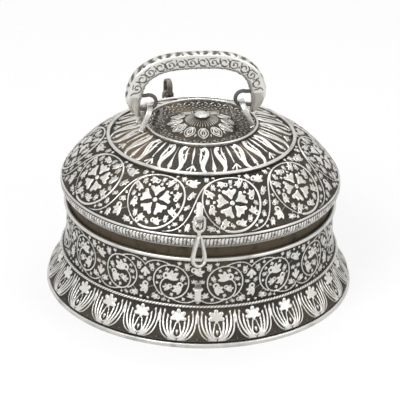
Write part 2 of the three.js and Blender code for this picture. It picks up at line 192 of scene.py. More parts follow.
class Shader:
    """One material with a Principled shader, whose sockets are set by name."""

    def __init__(self, name):
        self.material = bpy.data.materials.new(name)
        self.material.use_nodes = True
        self.tree = self.material.node_tree
        self.surface = self.tree.nodes["Principled BSDF"]

    @staticmethod
    def node(tree, kind, settings=None, values=None, output=0):
        """Adds one node, with its settings, then the values or links of its sockets."""
        made = tree.nodes.new(kind)
        for key, value in (settings or {}).items():
            setattr(made, key, value)
        for key, value in (values or {}).items():
            feed(tree, made.inputs[key], value)
        return Value(tree, made.outputs[output])

    def add(self, kind, settings=None, values=None, output=0):
        """Adds one node to this material."""
        return Shader.node(self.tree, kind, settings, values, output)

    def noise(self, scale, detail, rough=0.55):
        """Noise in the object's own space."""
        place = self.add("ShaderNodeTexCoord", output="Object")
        return self.add(
            "ShaderNodeTexNoise", None,
            {"Vector": place, "Scale": scale, "Detail": detail, "Roughness": rough}, "Fac",
        )

    def attribute(self, name):
        """The value that the mesh stores under this name."""
        return self.add("ShaderNodeAttribute", {"attribute_name": name}, None, "Fac")

    def mix(self, factor, first, second):
        """A colour between two colours."""
        made = self.tree.nodes.new("ShaderNodeMix")
        made.data_type = "RGBA"
        for place, item in ((0, factor), (6, first), (7, second)):
            feed(self.tree, made.inputs[place], item)
        return Value(self.tree, made.outputs[2])

    def set(self, **sockets):
        """Sets or links the shader's own sockets."""
        for key, value in sockets.items():
            feed(self.tree, self.surface.inputs[key.replace("_", " ")], value)

    def bump(self, height, strength, distance):
        """A normal that follows a height."""
        return self.add(
            "ShaderNodeBump", None,
            {"Height": height, "Strength": strength, "Distance": distance}, "Normal",
        )


MATTING_GREY = (0.20, 0.19, 0.165)
WORN_GREY = (0.42, 0.40, 0.36)
# The collar's dark brown: tarnish, darkened further as painted shade for the gap under the lid's band.
COLLAR_TARNISH_AND_SHADE = (0.085, 0.068, 0.046)


def shade(tone, share):
    """A colour times a share."""
    return tuple(c * share for c in tone)


def chased_silver(name, warmth, ground_share, matt):
    """Silver whose ground is oxidised and whose raised leaves are worn bright, with painted shade down the
    leaves' slopes and in the hollows.
    """
    tone = colours()
    shader = Shader(name)
    relief = shader.attribute("relief")
    hollow_shade = shader.attribute("hollow_shade")
    broad = shader.noise(38, 4)
    fine = shader.noise(900, 2)
    matting = shader.noise(2600, 1, 0.6)
    # Painted shade: the tone falls from crest to ground across the leaves' slopes and darkens in the hollows.
    # This stands in for shading that the shallow relief cannot cast. The bright crests are also real wear.
    raised = relief.smooth(0.18, 1.02)
    rubbed_and_shaded = (raised * (fine * 0.25 + 0.95) - hollow_shade * 0.5).clamped()
    tarnish = (broad.smooth(0.42, 0.68) * warmth).clamped()
    ground = shader.mix(tarnish, tuple(tone.ground), tuple(tone.warm))
    grey = shader.mix(matting.smooth(0.4, 0.8) * matt, ground, MATTING_GREY)
    worn = broad.smooth(0.45, 0.75) * 0.4
    bright = shader.mix(worn, shade(tone.bright, 0.94), WORN_GREY)
    colour = shader.mix(rubbed_and_shaded * ground_share + (1 - ground_share), grey, bright)
    bumped = shader.bump(matting * (1 - raised) + fine * 0.35, 0.35, 0.00025)
    shader.set(
        Base_Color=colour, Metallic=rubbed_and_shaded * 0.25 + 0.72,
        Roughness=0.62 - rubbed_and_shaded * 0.34 + fine * 0.06, Normal=bumped, Specular_IOR_Level=0.2,
    )
    return shader.material


def plain_silver(name, tone, rough, dirt, scale):
    """Silver wire or strap, worn bright, with faint scratches and tarnish in soft patches."""
    shader = Shader(name)
    broad = shader.noise(scale, 4)
    fine = shader.noise(1400, 3)
    patches = broad.smooth(0.45, 0.78) * dirt
    colour = shader.mix(patches, tone, shade(tone, 0.35))
    shader.set(
        Base_Color=colour, Metallic=0.96, Roughness=patches * 0.3 + rough + fine * 0.08,
        Normal=shader.bump(fine, 0.18, 0.0002),
    )
    return shader.material


MADE = {}


def finish_of(name):
    """The finish with this name, made once."""
    if name not in MADE:
        tone = colours()
        dull = tuple(0.45 * a + 0.55 * b for a, b in zip(tone.bright, tone.warm))
        chased = {
            # label, warmth of the ground, how dark the ground goes (1 is full), its grey matting
            "chased": ("Chased silver", 0.25, 1.0, 0.4),
            "chased_warm": ("Chased silver crown", 0.8, 1.0, 0.8),
            "engraved": ("Engraved silver", 0.3, 0.9, 0.4),
        }
        plain = {
            # label, tone, roughness, strength of the dull patches, their scale
            "bright": ("Bright silver wire", shade(tone.bright, 0.85), 0.28, 0.6, 90),
            # strap and dark: lower tones that also stand in as painted shade for the shadows and dark
            # reflections on the hinge leaves, beaded straps, rear staple and rear ring; their dull patches
            # are real tarnish and wear.
            "strap": ("Worn and shaded silver strap", shade(tone.bright, 0.6), 0.3, 0.8, 260),
            "dark": ("Oxidised and shaded silver", shade(dull, 0.42), 0.42, 0.6, 120),
            "brown": ("Tarnished and shaded collar", COLLAR_TARNISH_AND_SHADE, 0.45, 0.7, 150),
            "inside": ("Inside silver", shade(tone.bright, 0.8), 0.42, 0.5, 30),
        }
        MADE[name] = chased_silver(*chased[name]) if name in chased else plain_silver(*plain[name])
    return MADE[name]


# Meshes


def add_piece(name, made, finish, body, stands_for, slot, attributes=None):
    """Makes one named mesh of (points, faces) in millimetres, with its finish, and seats it on its body."""
    vertices, faces = made
    mesh = bpy.data.meshes.new(name)
    points = np.asarray(vertices, float) * MM
    mesh.from_pydata(points.tolist(), [], faces if isinstance(faces, list) else faces.tolist())
    mesh.validate()
    mesh.update()
    if len(mesh.vertices) != len(points):
        raise RuntimeError(f"{name} lost points")
    for key, values in (attributes or {}).items():
        layer = mesh.attributes.new(key, "FLOAT", "POINT")
        layer.data.foreach_set("value", np.asarray(values, np.float32))
    mesh.shade_smooth()
    mesh.materials.append(finish_of(finish))
    piece = bpy.data.objects.new(name, mesh)
    bpy.context.scene.collection.objects.link(piece)
    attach(piece, body)
    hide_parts(*stands_for)


def grid_faces(rows, columns, close_rows=False):
    """Quads between the points of a grid that closes round its columns, stored row by row."""
    down = np.arange(rows if close_rows else rows - 1)
    row, column = np.meshgrid(down, np.arange(columns), indexing="ij")
    next_row, next_column = (row + 1) % rows, (column + 1) % columns
    corners = [
        row * columns + column, row * columns + next_column,
        next_row * columns + next_column, next_row * columns + column,
    ]
    return np.stack(corners, -1).reshape(-1, 4)


def capped_faces(rows, columns):
    """The faces of a tube of points, with a cap at both its ends."""
    ends = [list(range(columns)), list(range((rows - 1) * columns, rows * columns))[::-1]]
    return grid_faces(rows, columns).tolist() + ends


def facing_out(vertices, faces):
    """The faces as lists, turned round where they enclose a negative volume."""
    vertices = np.asarray(vertices, float)
    faces = [list(face) for face in faces]
    volume = 0.0
    for face in faces:
        first = vertices[face[0]]
        for second, third in zip(face[1:-1], face[2:]):
            a, b = vertices[second], vertices[third]
            volume += (first[0] * (a[1] * b[2] - a[2] * b[1]) + first[1] * (a[2] * b[0] - a[0] * b[2])
                       + first[2] * (a[0] * b[1] - a[1] * b[0]))
    return faces if volume > 0 else [face[::-1] for face in faces]


def capped_turn(outline, steps):
    """A turned solid whose outline runs from its lower face outwards, up and back in on its top."""
    rows = len(outline)
    faces = grid_faces(rows, steps).tolist()
    faces.append(list(range(steps))[::-1])
    faces.append(list(range((rows - 1) * steps, rows * steps)))
    return turn_outline(outline, steps), faces


def turn_outline(outline, steps):
    """Points of an outline of (radius, height) turned round Z, row by row."""
    angle = np.arange(steps) * TAU / steps
    outline = np.asarray(outline, float)
    x = outline[:, :1] * np.cos(angle)
    y = outline[:, :1] * np.sin(angle)
    z = np.repeat(outline[:, 1:], steps, 1)
    return np.stack([x, y, z], -1).reshape(-1, 3)


def bezier(points, count):
    """Points on a Bezier curve of any order."""
    share = np.linspace(0, 1, count)[:, None, None]
    level = np.repeat(np.asarray(points, float)[None], count, 0)
    while level.shape[1] > 1:
        level = level[:, :-1] * (1 - share) + level[:, 1:] * share
    return level[:, 0]


def smooth_path(points, count):
    """Points along a centripetal spline through the given points."""
    points = np.asarray(points, float)
    padded = np.concatenate([2 * points[:1] - points[1:2], points, 2 * points[-1:] - points[-2:-1]])
    stretches = len(points) - 1
    made = []
    for place in np.linspace(0, stretches, count):
        step = min(int(place), stretches - 1)
        share = place - step
        before, start, end, after = padded[step:step + 4]
        knots = [0.0]
        for first, second in ((before, start), (start, end), (end, after)):
            knots.append(knots[-1] + max(np.linalg.norm(second - first), 1e-6) ** 0.5)
        at = knots[1] + share * (knots[2] - knots[1])

        def between(a, b, ka, kb):
            """The point between two, by their knots."""
            return a * (kb - at) / (kb - ka) + b * (at - ka) / (kb - ka)

        a1 = between(before, start, knots[0], knots[1])
        a2 = between(start, end, knots[1], knots[2])
        a3 = between(end, after, knots[2], knots[3])
        b1 = between(a1, a2, knots[0], knots[2])
        b2 = between(a2, a3, knots[1], knots[3])
        made.append(between(b1, b2, knots[1], knots[2]))
    return np.array(made)


def sweep(path, section, side, closed=False):
    """A bar along a path. section(share) gives points round the bar as (across, side)."""
    count = len(path)
    depth = np.asarray(side, float)
    rings = []
    for i in range(count):
        before = path[(i - 1) % count if closed else max(i - 1, 0)]
        after = path[(i + 1) % count if closed else min(i + 1, count - 1)]
        along = (after - before) / np.linalg.norm(after - before)
        normal = np.cross(depth, along)
        normal /= np.linalg.norm(normal)
        shape = section(i / (count - 1))
        rings.append(path[i] + shape[:, :1] * normal + shape[:, 1:] * depth)
    sides = len(rings[0])
    vertices = np.concatenate(rings)
    faces = grid_faces(count, sides, close_rows=True) if closed else capped_faces(count, sides)
    return vertices, facing_out(vertices, faces)


def join_meshes(parts):
    """Several (vertices, faces) as one."""
    vertices, faces, start = [], [], 0
    for points, polygons in parts:
        vertices.append(np.asarray(points, float))
        faces += [[corner + start for corner in polygon] for polygon in polygons]
        start += len(points)
    return np.concatenate(vertices), faces


def round_section(radius_across, radius_side=None, sides=12, power=2.0):
    """A superellipse round the origin."""
    angle = np.arange(sides) * TAU / sides + math.pi / sides
    cosine, sine = np.cos(angle), np.sin(angle)
    shape = 2 / power
    return np.stack([
        radius_across * np.sign(cosine) * np.abs(cosine) ** shape,
        (radius_side or radius_across) * np.sign(sine) * np.abs(sine) ** shape,
    ], -1)


# Chased relief


LEAST_BEVEL = 0.45  # about a step of the mesh, so that no edge is steeper than the mesh can show
TAKEN = 0.25  # ground that stands higher than this holds a stroke
MARGIN = 0.3


class ChasedBand:
    """A repeat of relief on a band round the box. x runs round the box and y along the outline."""

    def __init__(self, repeats, outline, turn=0.0, pitch=0.2):
        self.period = TAU / repeats
        self.turn = math.radians(turn)
        self.outline = outline
        rows = int(outline.length / pitch) + 2
        self.y = np.linspace(0, outline.length, rows)
        self.radius = outline.radius(self.y)
        columns = int(self.period * self.radius.max() / pitch) + 2
        self.angle = np.linspace(-self.period / 2, self.period / 2, columns)
        self.x = self.angle[None] * self.radius[:, None]
        self.height = np.zeros((rows, columns))

    def width_at(self, y):
        """The width of one repeat at a place along the outline."""
        return self.period * float(self.outline.radius(y))

    def tall(self, points, side=1):
        """Points whose heights are shares of the outline's length, mirrored where side is -1."""
        return np.asarray(points, float) * (side, self.outline.length)

    def window(self, points, reach, copy):
        """The part of the raster near some points, as seen by one neighbour's copy."""
        x = self.x - copy * self.period * self.radius[:, None]
        low, high = points.min(0) - reach, points.max(0) + reach
        rows = np.nonzero((self.y >= low[1]) & (self.y <= high[1]))[0]
        if not len(rows):
            return None
        rows = slice(rows[0], rows[-1] + 1)
        columns = np.nonzero(((x[rows] >= low[0]) & (x[rows] <= high[0])).any(0))[0]
        if not len(columns):
            return None
        columns = slice(columns[0], columns[-1] + 1)
        place = np.stack(np.broadcast_arrays(x[rows, columns], self.y[rows, None]), -1)
        return rows, columns, place

    @staticmethod
    def depth_inside(place, points, radii):
        """How deep each place lies inside a tapering stroke, in millimetres."""
        best = np.full(place.shape[:-1], -1e9)
        for i in range(max(len(points) - 1, 1)):
            start, end = points[i], points[min(i + 1, len(points) - 1)]
            along = end - start
            share = ((place - start) @ along) / max(along @ along, 1e-9)
            share = np.clip(share, 0, 1)
            gap = np.linalg.norm(place - start - share[..., None] * along, axis=-1)
            radius = radii[i] + (radii[min(i + 1, len(radii) - 1)] - radii[i]) * share
            best = np.maximum(best, radius - gap)
        return best

    def copies(self, points, radii, reach):
        """The depth inside a stroke, as seen by the cell and by both its neighbours."""
        points = np.atleast_2d(np.asarray(points, float))
        radii = np.broadcast_to(np.asarray(radii, float), (len(points),))
        for copy in (-1, 0, 1):
            found = self.window(points, reach, copy)
            if found:
                rows, columns, place = found
                yield rows, columns, self.depth_inside(place, points, radii)

    def rise(self, points, radii, height=1.0, bevel=0.6):
        """Raises a rounded stroke above the ground, over at least a step of the mesh."""
        bevel = max(bevel, LEAST_BEVEL)
        reach = float(np.max(radii)) + MARGIN
        for rows, columns, depth in self.copies(points, radii, reach):
            share = np.clip(depth / bevel, 0, 1)
            lifted = height * (1 - (1 - share) ** 2)
            self.height[rows, columns] = np.maximum(self.height[rows, columns], lifted)

    def cut(self, points, radii, depth=0.35):
        """Cuts an engraved line into what is raised."""
        reach = float(np.max(radii)) + MARGIN
        for rows, columns, inside in self.copies(points, radii, reach):
            share = np.clip(inside / float(np.max(radii)), 0, 1)
            here = self.height[rows, columns]
            self.height[rows, columns] = here - depth * share * np.clip(here * 3, 0, 1)

    def free_space(self):
        """The distance from each place to the nearest stroke or edge, in millimetres."""
        down = self.y[1] - self.y[0]
        along = (self.period * self.radius / (self.height.shape[1] - 1))[:, None]
        slant = np.hypot(down, along)
        far, rounds = 9.0, 26
        gap = np.where(self.height > TAKEN, 0.0, far)
        gap[:2], gap[-2:] = 0, 0
        for _ in range(rounds):
            for side in (1, -1):
                beside = np.roll(gap, side, 1)
                gap = np.minimum(gap, beside + along)
                for up in (1, -1):
                    gap = np.minimum(gap, np.roll(gap, up, 0) + down)
                    gap = np.minimum(gap, np.roll(beside, up, 0) + slant)
        return gap

    def fill(self, least, most, clear, height=0.98):
        """Chases leaves, buds and drops on short stems into the free ground, the widest gaps first."""
        sprig_from, bud_from, stem = 1.75, 1.0, 0.36
        gap = self.free_space()
        y = np.broadcast_to(self.y[:, None], self.x.shape)
        strokes = np.stack([self.x, y], -1)[self.height > TAKEN]
        side = 1
        while True:
            row, column = np.unravel_index(np.argmax(gap), gap.shape)
            size = min(gap[row, column] - clear, most)
            if size < least:
                return
            at = np.array([self.x[row, column], self.y[row]])
            offsets = at - strokes
            nearest = np.argmin((offsets ** 2).sum(1))
            way = math.degrees(math.atan2(offsets[nearest][1], offsets[nearest][0]))
            self.rise([strokes[nearest], at - offsets[nearest] * 0.3], stem, height * 0.9, 0.3)
            if size > sprig_from:
                chase_sprig(self, at, way, size, side, height)
            elif size > bud_from:
                chase_bud(self, at, way, size, height)
            else:
                self.rise(placed([(-0.5, 0), (0.3, 0)], at=at, turn=way, size=size),
                          np.array([0.35, 0.62]) * size, height, 0.5 * size)
            side = -side
            for copy in (-1, 0, 1):
                x = self.x - copy * self.period * self.radius[:, None]
                gap = np.minimum(gap, np.hypot(x - at[0], y - at[1]) - size)

    def sample(self, angle, y):
        """Heights at angles round the box and places along the outline."""
        folded = (angle - self.turn + self.period / 2) % self.period
        u = folded / self.period * (self.height.shape[1] - 1)
        v = np.clip(y / self.y[-1], 0, 1) * (self.height.shape[0] - 1)
        u0 = np.minimum(u.astype(int), self.height.shape[1] - 2)
        v0 = np.minimum(v.astype(int), self.height.shape[0] - 2)
        du, dv = (u - u0)[None], (v - v0)[:, None]
        field = self.height
        top = field[v0][:, u0] * (1 - du) + field[v0][:, u0 + 1] * du
        bottom = field[v0 + 1][:, u0] * (1 - du) + field[v0 + 1][:, u0 + 1] * du
        return top * (1 - dv) + bottom * dv


def placed(points, at=(0, 0), turn=0.0, size=1.0, flip=False):
    """Points moved to a place, turned by degrees, scaled and perhaps mirrored."""
    points = np.atleast_2d(np.asarray(points, float)) * size
    if flip:
        points = points * (-1, 1)
    angle = math.radians(turn)
    spin = np.array([[math.cos(angle), math.sin(angle)], [-math.sin(angle), math.cos(angle)]])
    return points @ spin + np.asarray(at, float)


def spiral(radius, turns, count=18, inner=0.18):
    """A curl that starts at (radius, 0) and winds inwards, counter-clockwise."""
    share = np.linspace(0, 1, count)
    size = radius * (1 - (1 - inner) * share)
    angle = TAU * turns * share
    return np.stack([size * np.cos(angle), size * np.sin(angle)], -1)


def arc(radius, start, end, count=24):
    """Points on a circle between two angles in degrees."""
    angle = np.radians(np.linspace(start, end, count))
    return np.stack([radius * np.cos(angle), radius * np.sin(angle)], -1)


def tapered(count, start, middle, end):
    """Radii that swell from start to middle and fall to end."""
    share = np.linspace(0, 1, count)
    first = start + (middle - start) * np.sin(np.clip(share * 2, 0, 1) * math.pi / 2)
    second = end + (middle - end) * np.cos(np.clip(share * 2 - 1, 0, 1) * math.pi / 2)
    return np.where(share < 0.5, first, second)


def chase_sprig(band, at, turn, size, side=1, height=1.05):
    """A curled leaf inside a circle of this size: three veined lobes over a volute at its foot."""
    put = dict(at=at, turn=turn, size=size)
    for lean, long, wide in ((-38, 0.80, 0.35), (18, 0.92, 0.40), (76, 0.84, 0.35)):
        way = np.array([math.cos(math.radians(lean)), math.sin(math.radians(lean)) * side])
        lobe = bezier([(-0.45, -0.05 * side), way * 0.3 + (-0.12, 0), way * long * 0.84], 7)
        band.rise(placed(lobe, **put), tapered(7, 0.2, wide, 0.22) * size, height, 0.26 * size)
        band.cut(placed(lobe[2:6], **put), 0.3, 0.55)
    curl = spiral(0.42, 1.0, 14, 0.35) * (1, -side) + (-0.40, -0.48 * side)
    band.rise(placed(curl, **put), 0.2 * size, height, 0.2 * size)
    band.cut(placed([(-0.40, -0.48 * side)], **put), 0.12 * size + 0.1, 0.6)


def chase_bud(band, at, turn, size, height=0.95):
    """A three-lobed bud inside a circle of this size."""
    put = dict(at=at, turn=turn, size=size)
    for lean, long in ((-62, 0.66), (0, 0.78), (62, 0.66)):
        tip = (long * math.cos(math.radians(lean)), long * math.sin(math.radians(lean)))
        band.rise(placed([(-0.6, 0), tip], **put), np.array([0.24, 0.40]) * size, height, 0.3 * size)


def chase_rosette(band, at, radius, petals, turn):
    """A rosette: broad petals with two round corners and a point, parted by dark slits, round a bead."""
    size = radius / 10
    for number in range(petals):
        put = dict(at=at, turn=turn + 360 / petals * number, size=size)
        for points, radii, bevel in (
            ([(3.0, 0), (5.0, 0), (6.9, 0)], (0.9, 1.9, 2.6), 0.8),
            ([(7.0, 0), (9.6, 0)], (1.6, 0.6), 0.7),
        ):
            band.rise(placed(points, **put), np.array(radii) * size, 1.05, bevel * size)
        for flip in (1, -1):
            corner = placed([(6.4, 1.4 * flip), (8.0, 3.3 * flip)], **put)
            band.rise(corner, np.array([1.6, 1.45]) * size, 1.05, 0.7 * size)
            band.cut(placed([(8.0, 3.4 * flip)], **put), 0.55 * size, 0.55)
        band.cut(placed([(4.8, 0), (7.6, 0)], **put), 0.28, 0.4)
    band.rise([at], 1.9 * size, 1.15, 1.2 * size)
    band.cut(placed(arc(2.1, 0, 360, 25), at=at, size=size), 0.3, 0.6)


def foot_band(outline):
    """Palmettes with a scalloped flower in a cup, between nested leaves, and small buds."""
    band = ChasedBand(24, outline, -90 + 7.5)
    high = outline.length
    for level, (spread, top) in enumerate(((2.3, 0.46), (3.9, 0.62), (5.6, 0.74))):
        reach = high * top
        for side in (-1, 1):
            leaf = bezier([
                (0.4 * side, 1.6 - 0.35 * level), (spread * 1.15 * side, 1.2 - 0.3 * level),
                (spread * 1.9 * side, reach * 0.62), ((spread * 1.25 + 1.3) * side, reach + 1.4),
            ], 16)
            band.rise(leaf, tapered(16, 0.5, 0.85, 0.7), 1.0, 0.7)
            band.rise([leaf[-1], leaf[-1] + (0.3 * side, 1.3)], (0.95, 0.35), 1.05, 0.8)
    for side in (-1, 1):
        outer = bezier([
            (1.2 * side, 0.7), (9.2 * side, 1.2), (11.6 * side, 6), (10.4 * side, high * 0.72),
        ], 18)
        band.rise(outer, tapered(18, 0.4, 0.75, 0.6), 0.8, 0.55)
        band.rise([(2.5 * side, 5.2), (1.0 * side, high * 0.52)], (0.7, 0.5), 1.0, 0.6)
    band.rise(arc(2.5, -180, 0, 14) + (0, 5.2), 0.7, 1.0, 0.6)
    band.rise([(0, 4.6), (0, 6.6)], (0.5, 1.1), 0.95, 0.6)
    centre = high * 0.68
    for number in range(5):
        angle = math.radians(-20 + 55 * number)
        tip = (3.9 * math.cos(angle), centre + 3.5 * math.sin(angle))
        band.rise([(0, centre - 0.4), tip], (2.2, 1.55), 1.1, 0.9)
    band.rise([(0, centre - 0.4), (0, centre - 3.2)], (2.6, 1.0), 1.1, 0.9)
    band.cut(arc(2.6, 20, 160, 12) + (0, centre - 0.2), 0.32, 0.35)
    for angle in (50, 90, 130):
        ray = np.array([(math.cos(math.radians(angle)), math.sin(math.radians(angle)))])
        band.cut(np.concatenate([ray * 0.8, ray * 3.6]) + (0, centre), 0.22, 0.3)
    half = band.width_at(high * 0.7) / 2
    band.rise([(half, high * 0.66), (half, high * 0.86)], (1.35, 0.5), 1.05, 0.9)
    band.rise([(half, high * 0.5), (half, high * 0.6)], (0.4, 0.9), 0.9, 0.6)
    base_half = band.width_at(1.0) / 2
    band.rise([(base_half, 1.9)], 0.55, 0.8, 0.5)
    band.rise([(-base_half, 0.3), (base_half, 0.3)], 0.5, 0.75, 0.4)
    return band


def wall_band(outline):
    """Scrolls in mirrored pairs: rings that wind to a leaf, with vines between them."""
    band = ChasedBand(8, outline, -90)
    length = outline.length
    pitch = band.width_at(length / 2) / 2
    ring = length * 0.375
    inward = np.array([(-0.03, -1), (0.55, -0.98), (0.82, -0.45), (0.6, 0.12), (0.2, 0.2)]) * ring
    for side in (-1, 1):
        centre = np.array([pitch / 2 * side, length * 0.5])
        mirror = (side, 1)
        scroll = np.concatenate([arc(ring, -60, 268, 56), bezier(inward, 18)]) * mirror + centre
        low = bezier(np.array([
            (0.3, length * 0.17), (pitch * 0.1, length * 0.03),
            (pitch * 0.3, 0.4), (pitch * 0.5, length * 0.5 - ring),
        ]) * mirror, 16)
        high = bezier(np.array([
            (pitch, length * 0.80), (pitch * 0.9, length * 0.97),
            (pitch * 0.7, length * 0.99), (pitch * 0.5, length * 0.5 + ring),
        ]) * mirror, 16)
        for line, width in ((scroll, 0.62), (low, 0.58), (high, 0.58)):
            band.rise(line, width, 0.95, 0.5)
        chase_sprig(band, centre + (-ring * 0.04 * side, ring * 0.30), 90 + 40 * side, 5.2, side)
        low_leaf = centre + np.array([-ring * 0.40, -ring * 0.42]) * mirror
        chase_sprig(band, low_leaf, 90 - 100 * side, 4.4, -side)
    for x, y, turn in ((0, length * 0.32, 90), (pitch, length * 0.66, -90)):
        chase_bud(band, (x, y), turn, 3.6)
    band.fill(least=1.15, most=4.4, clear=0.34)
    return band


def dome_band(outline):
    """Medallions with a five-petalled rosette and a wreath of leaves, linked by a broad vine."""
    band = ChasedBand(10, outline, -90 + 15)
    centre = np.array([0.0, outline.length * 0.48])
    ring = outline.length * 0.455
    step = band.width_at(centre[1])
    start = arc(ring, 118, 118, 1)[0] + centre
    vine = np.concatenate([
        bezier([(-step + 2, -0.4 + centre[1] - ring), (-step + ring * 0.85, centre[1] - ring * 1.0),
                (-ring * 1.5, centre[1] - ring * 0.55), (-ring * 1.22, centre[1] + ring * 0.1),
                (-ring * 1.08, centre[1] + ring * 0.62), start], 34)[:-1],
        arc(ring, 118, -110, 60) + centre,
    ])
    band.rise(vine, np.linspace(0.5, 0.95, len(vine)), 1.0, 0.6)
    band.rise(arc(ring, 118, 250, 40) + centre, np.linspace(0.75, 0.5, 40), 1.0, 0.6)
    chase_rosette(band, tuple(centre), ring * 0.55, 5, 94)
    wreath = 8
    for number in range(wreath):
        angle = 360 / wreath * (number + 0.4)
        spot = arc(ring * 0.775, angle, angle, 1)[0] + centre
        chase_sprig(band, spot, angle + 112, ring * 0.2, 1 if number % 2 else -1)
    band.fill(least=1.2, most=4.6, clear=0.36)
    return band


def crown_band(outline):
    """Twelve lyre-shaped tulips with a hanging drop, and small lilies and slender leaves between them."""
    band = ChasedBand(12, outline, -90 + 9)
    tall, length = band.tall, outline.length
    for side in (-1, 1):
        lyre = [(0.9, 0.05), (9.8, 0.05), (9.0, 0.42), (2.2, 0.50), (1.4, 0.78), (3.4, 0.92)]
        arm = bezier(tall(lyre, side), 26)
        band.rise(arm, tapered(26, 0.6, 1.8, 1.2), 1.05, 0.8)
        band.cut(arm[4:-4], 0.3, 0.5)
        curl = placed(spiral(1.5, 1.1, 18), at=(4.1 * side, length * 0.86), turn=60, flip=side < 0)
        band.rise(curl, np.linspace(0.8, 0.5, 18), 1.0, 0.55)
        band.rise(tall([(4.9, 0.60), (5.6, 0.68)], side), (0.9, 0.4), 0.9, 0.7)
    band.rise(tall([(0, 0.92), (0, 0.45), (0, 0.22)]), (0.35, 0.7, 1.75), 1.1, 1.0)
    band.rise(tall([(0, 0.13)]), 1.15, 1.0, 0.8)
    band.cut(tall([(0, 0.30), (0, 0.8)]), 0.2, 0.3)
    half = band.width_at(length * 0.2) / 2
    for lean in (-48, 0, 48):
        tip = placed([(0, -3.3)], at=(half, length * 0.27), turn=lean)[0]
        band.rise([(half, length * 0.30), tip], (0.85, 0.75), 0.95, 0.7)
        band.rise([tip], 0.95, 0.95, 0.7)
    band.rise(tall([(half * 0.93, 0.36), (half * 0.84, 0.52)]), (0.7, 0.4), 0.9, 0.6)
    for side in (-1, 1):
        beside = bezier(tall([(7.6, 0.30), (8.8, 0.52), (5.2, 0.66), (6.4, 0.92)], side), 14)
        band.rise(beside, tapered(14, 0.4, 1.0, 0.55), 0.98, 0.7)
        band.rise([beside[8], beside[8] + (1.7 * side, 1.2)], (0.8, 0.35), 0.95, 0.6)
    middle = [(band.width_at(y) / 2, y) for y in np.linspace(length * 0.44, length * 0.95, 8)]
    band.rise(middle, tapered(8, 0.3, 1.0, 0.4), 0.98, 0.7)
    return band


def inner_band(outline):
    """A row of small scallops and a bed of engraved leaves."""
    band = ChasedBand(24, outline, 0.0, 0.15)
    length = outline.length
    width = band.width_at(length * 0.2)
    band.rise(arc(width * 0.40, 200, 340, 12) * (1, 0.8) + (0, length * 0.26), 0.55, 0.9, 0.5)
    band.rise([(0, length * 0.24)], 0.75, 0.9, 0.6)
    for shift, high, size in ((0.0, 0.48, 0.85), (0.38, 0.72, 0.75)):
        root = (width * shift, length * high)
        for lean in (-35, 35):
            tip = placed([(0, -1.7 * size)], at=root, turn=lean)[0]
            band.rise([root, tip], np.array([0.5, 0.28]) * size, 0.6, 0.4)
    band.fill(least=0.5, most=1.1, clear=0.3, height=0.7)
    return band


def boss_band(outline):
    """Pointed lotus petals with buds between them, and fine rays round the button."""
    band = ChasedBand(12, outline, -90 + 4, 0.12)
    tall, length = band.tall, outline.length
    half = band.width_at(length * 0.2) / 2
    petal_top = 0.52
    for side in (-1, 1):
        edge = tall([(0, 0.02), (half * 0.45, 0.13), (half * 1.15, 0.26), (half * 0.2, petal_top)], side)
        band.rise(bezier(edge, 14), 0.5, 1.0, 0.5)
        band.rise(tall([(0, 0.12), (half * 0.4, 0.28), (0, petal_top)], side), 0.8, 0.8, 0.7)
    band.rise(tall([(0, 0.06), (0, petal_top)]), 0.42, 0.95, 0.4)
    band.rise(tall([(half, 0.1), (half, 0.2)]), (0.4, 0.85), 0.9, 0.6)
    for number in range(3):
        shift = band.period / 3 * (number - 1)
        ray = [(shift * outline.radius(y), y) for y in (length * 0.62, length * 0.92)]
        band.rise(ray, (0.42, 0.2), 0.8, 0.3)
    return band


def under_band(outline):
    """Shallow engraved swirls over fine scratched lines."""
    band = ChasedBand(60, outline, 0.0, 0.15)
    band.height[:] = 0.9
    length = outline.length
    width = band.width_at(length / 2)
    for number in range(4):
        x = width * (number / 4 - 0.4)
        stroke = bezier(band.tall([(x, 0.34), (x + 1.9, 0.5), (x - 0.6, 0.74), (x + 1.5, 0.95)]), 10)
        band.cut(stroke, 0.45, 0.75)
    curl = spiral(width * 0.22, 1.2, 14, 0.3) + (width * 0.1, length * 0.62)
    band.cut(curl, 0.4, 0.75)
    for share in (0.06, 0.18, 0.30):
        band.cut(band.tall([(-width / 2, share), (width / 2, share)]), 0.45, 0.8)
    return band


class Outline:
    """An outline of (radius, height) points, measured along its length."""

    def __init__(self, points):
        self.points = np.asarray(points, float)
        gaps = np.linalg.norm(np.diff(self.points, axis=0), axis=1)
        self.along = np.concatenate([[0], np.cumsum(gaps)])
        self.length = self.along[-1]

    def at(self, place):
        """Points at distances along the outline."""
        return np.stack([np.interp(place, self.along, self.points[:, i]) for i in (0, 1)], -1)

    def radius(self, place):
        """Radii at distances along the outline."""
        return np.interp(place, self.along, self.points[:, 0])

    def normal(self, place):
        """The outward normal, for an outline that climbs from its foot."""
        step = 0.4
        slope = self.at(np.minimum(place + step, self.length)) - self.at(np.maximum(place - step, 0))
        slope /= np.linalg.norm(slope, axis=1)[:, None]
        return np.stack([slope[:, 1], -slope[:, 0]], -1)


SHELL_SHARE = 0.7  # of the sheet's thickness, under the relief
EDGE_FADE = 0.8
# How strongly concave places are darkened as painted shade
HOLLOW_SHADE_GAIN = 2.2
LINING_TONE = 0.8


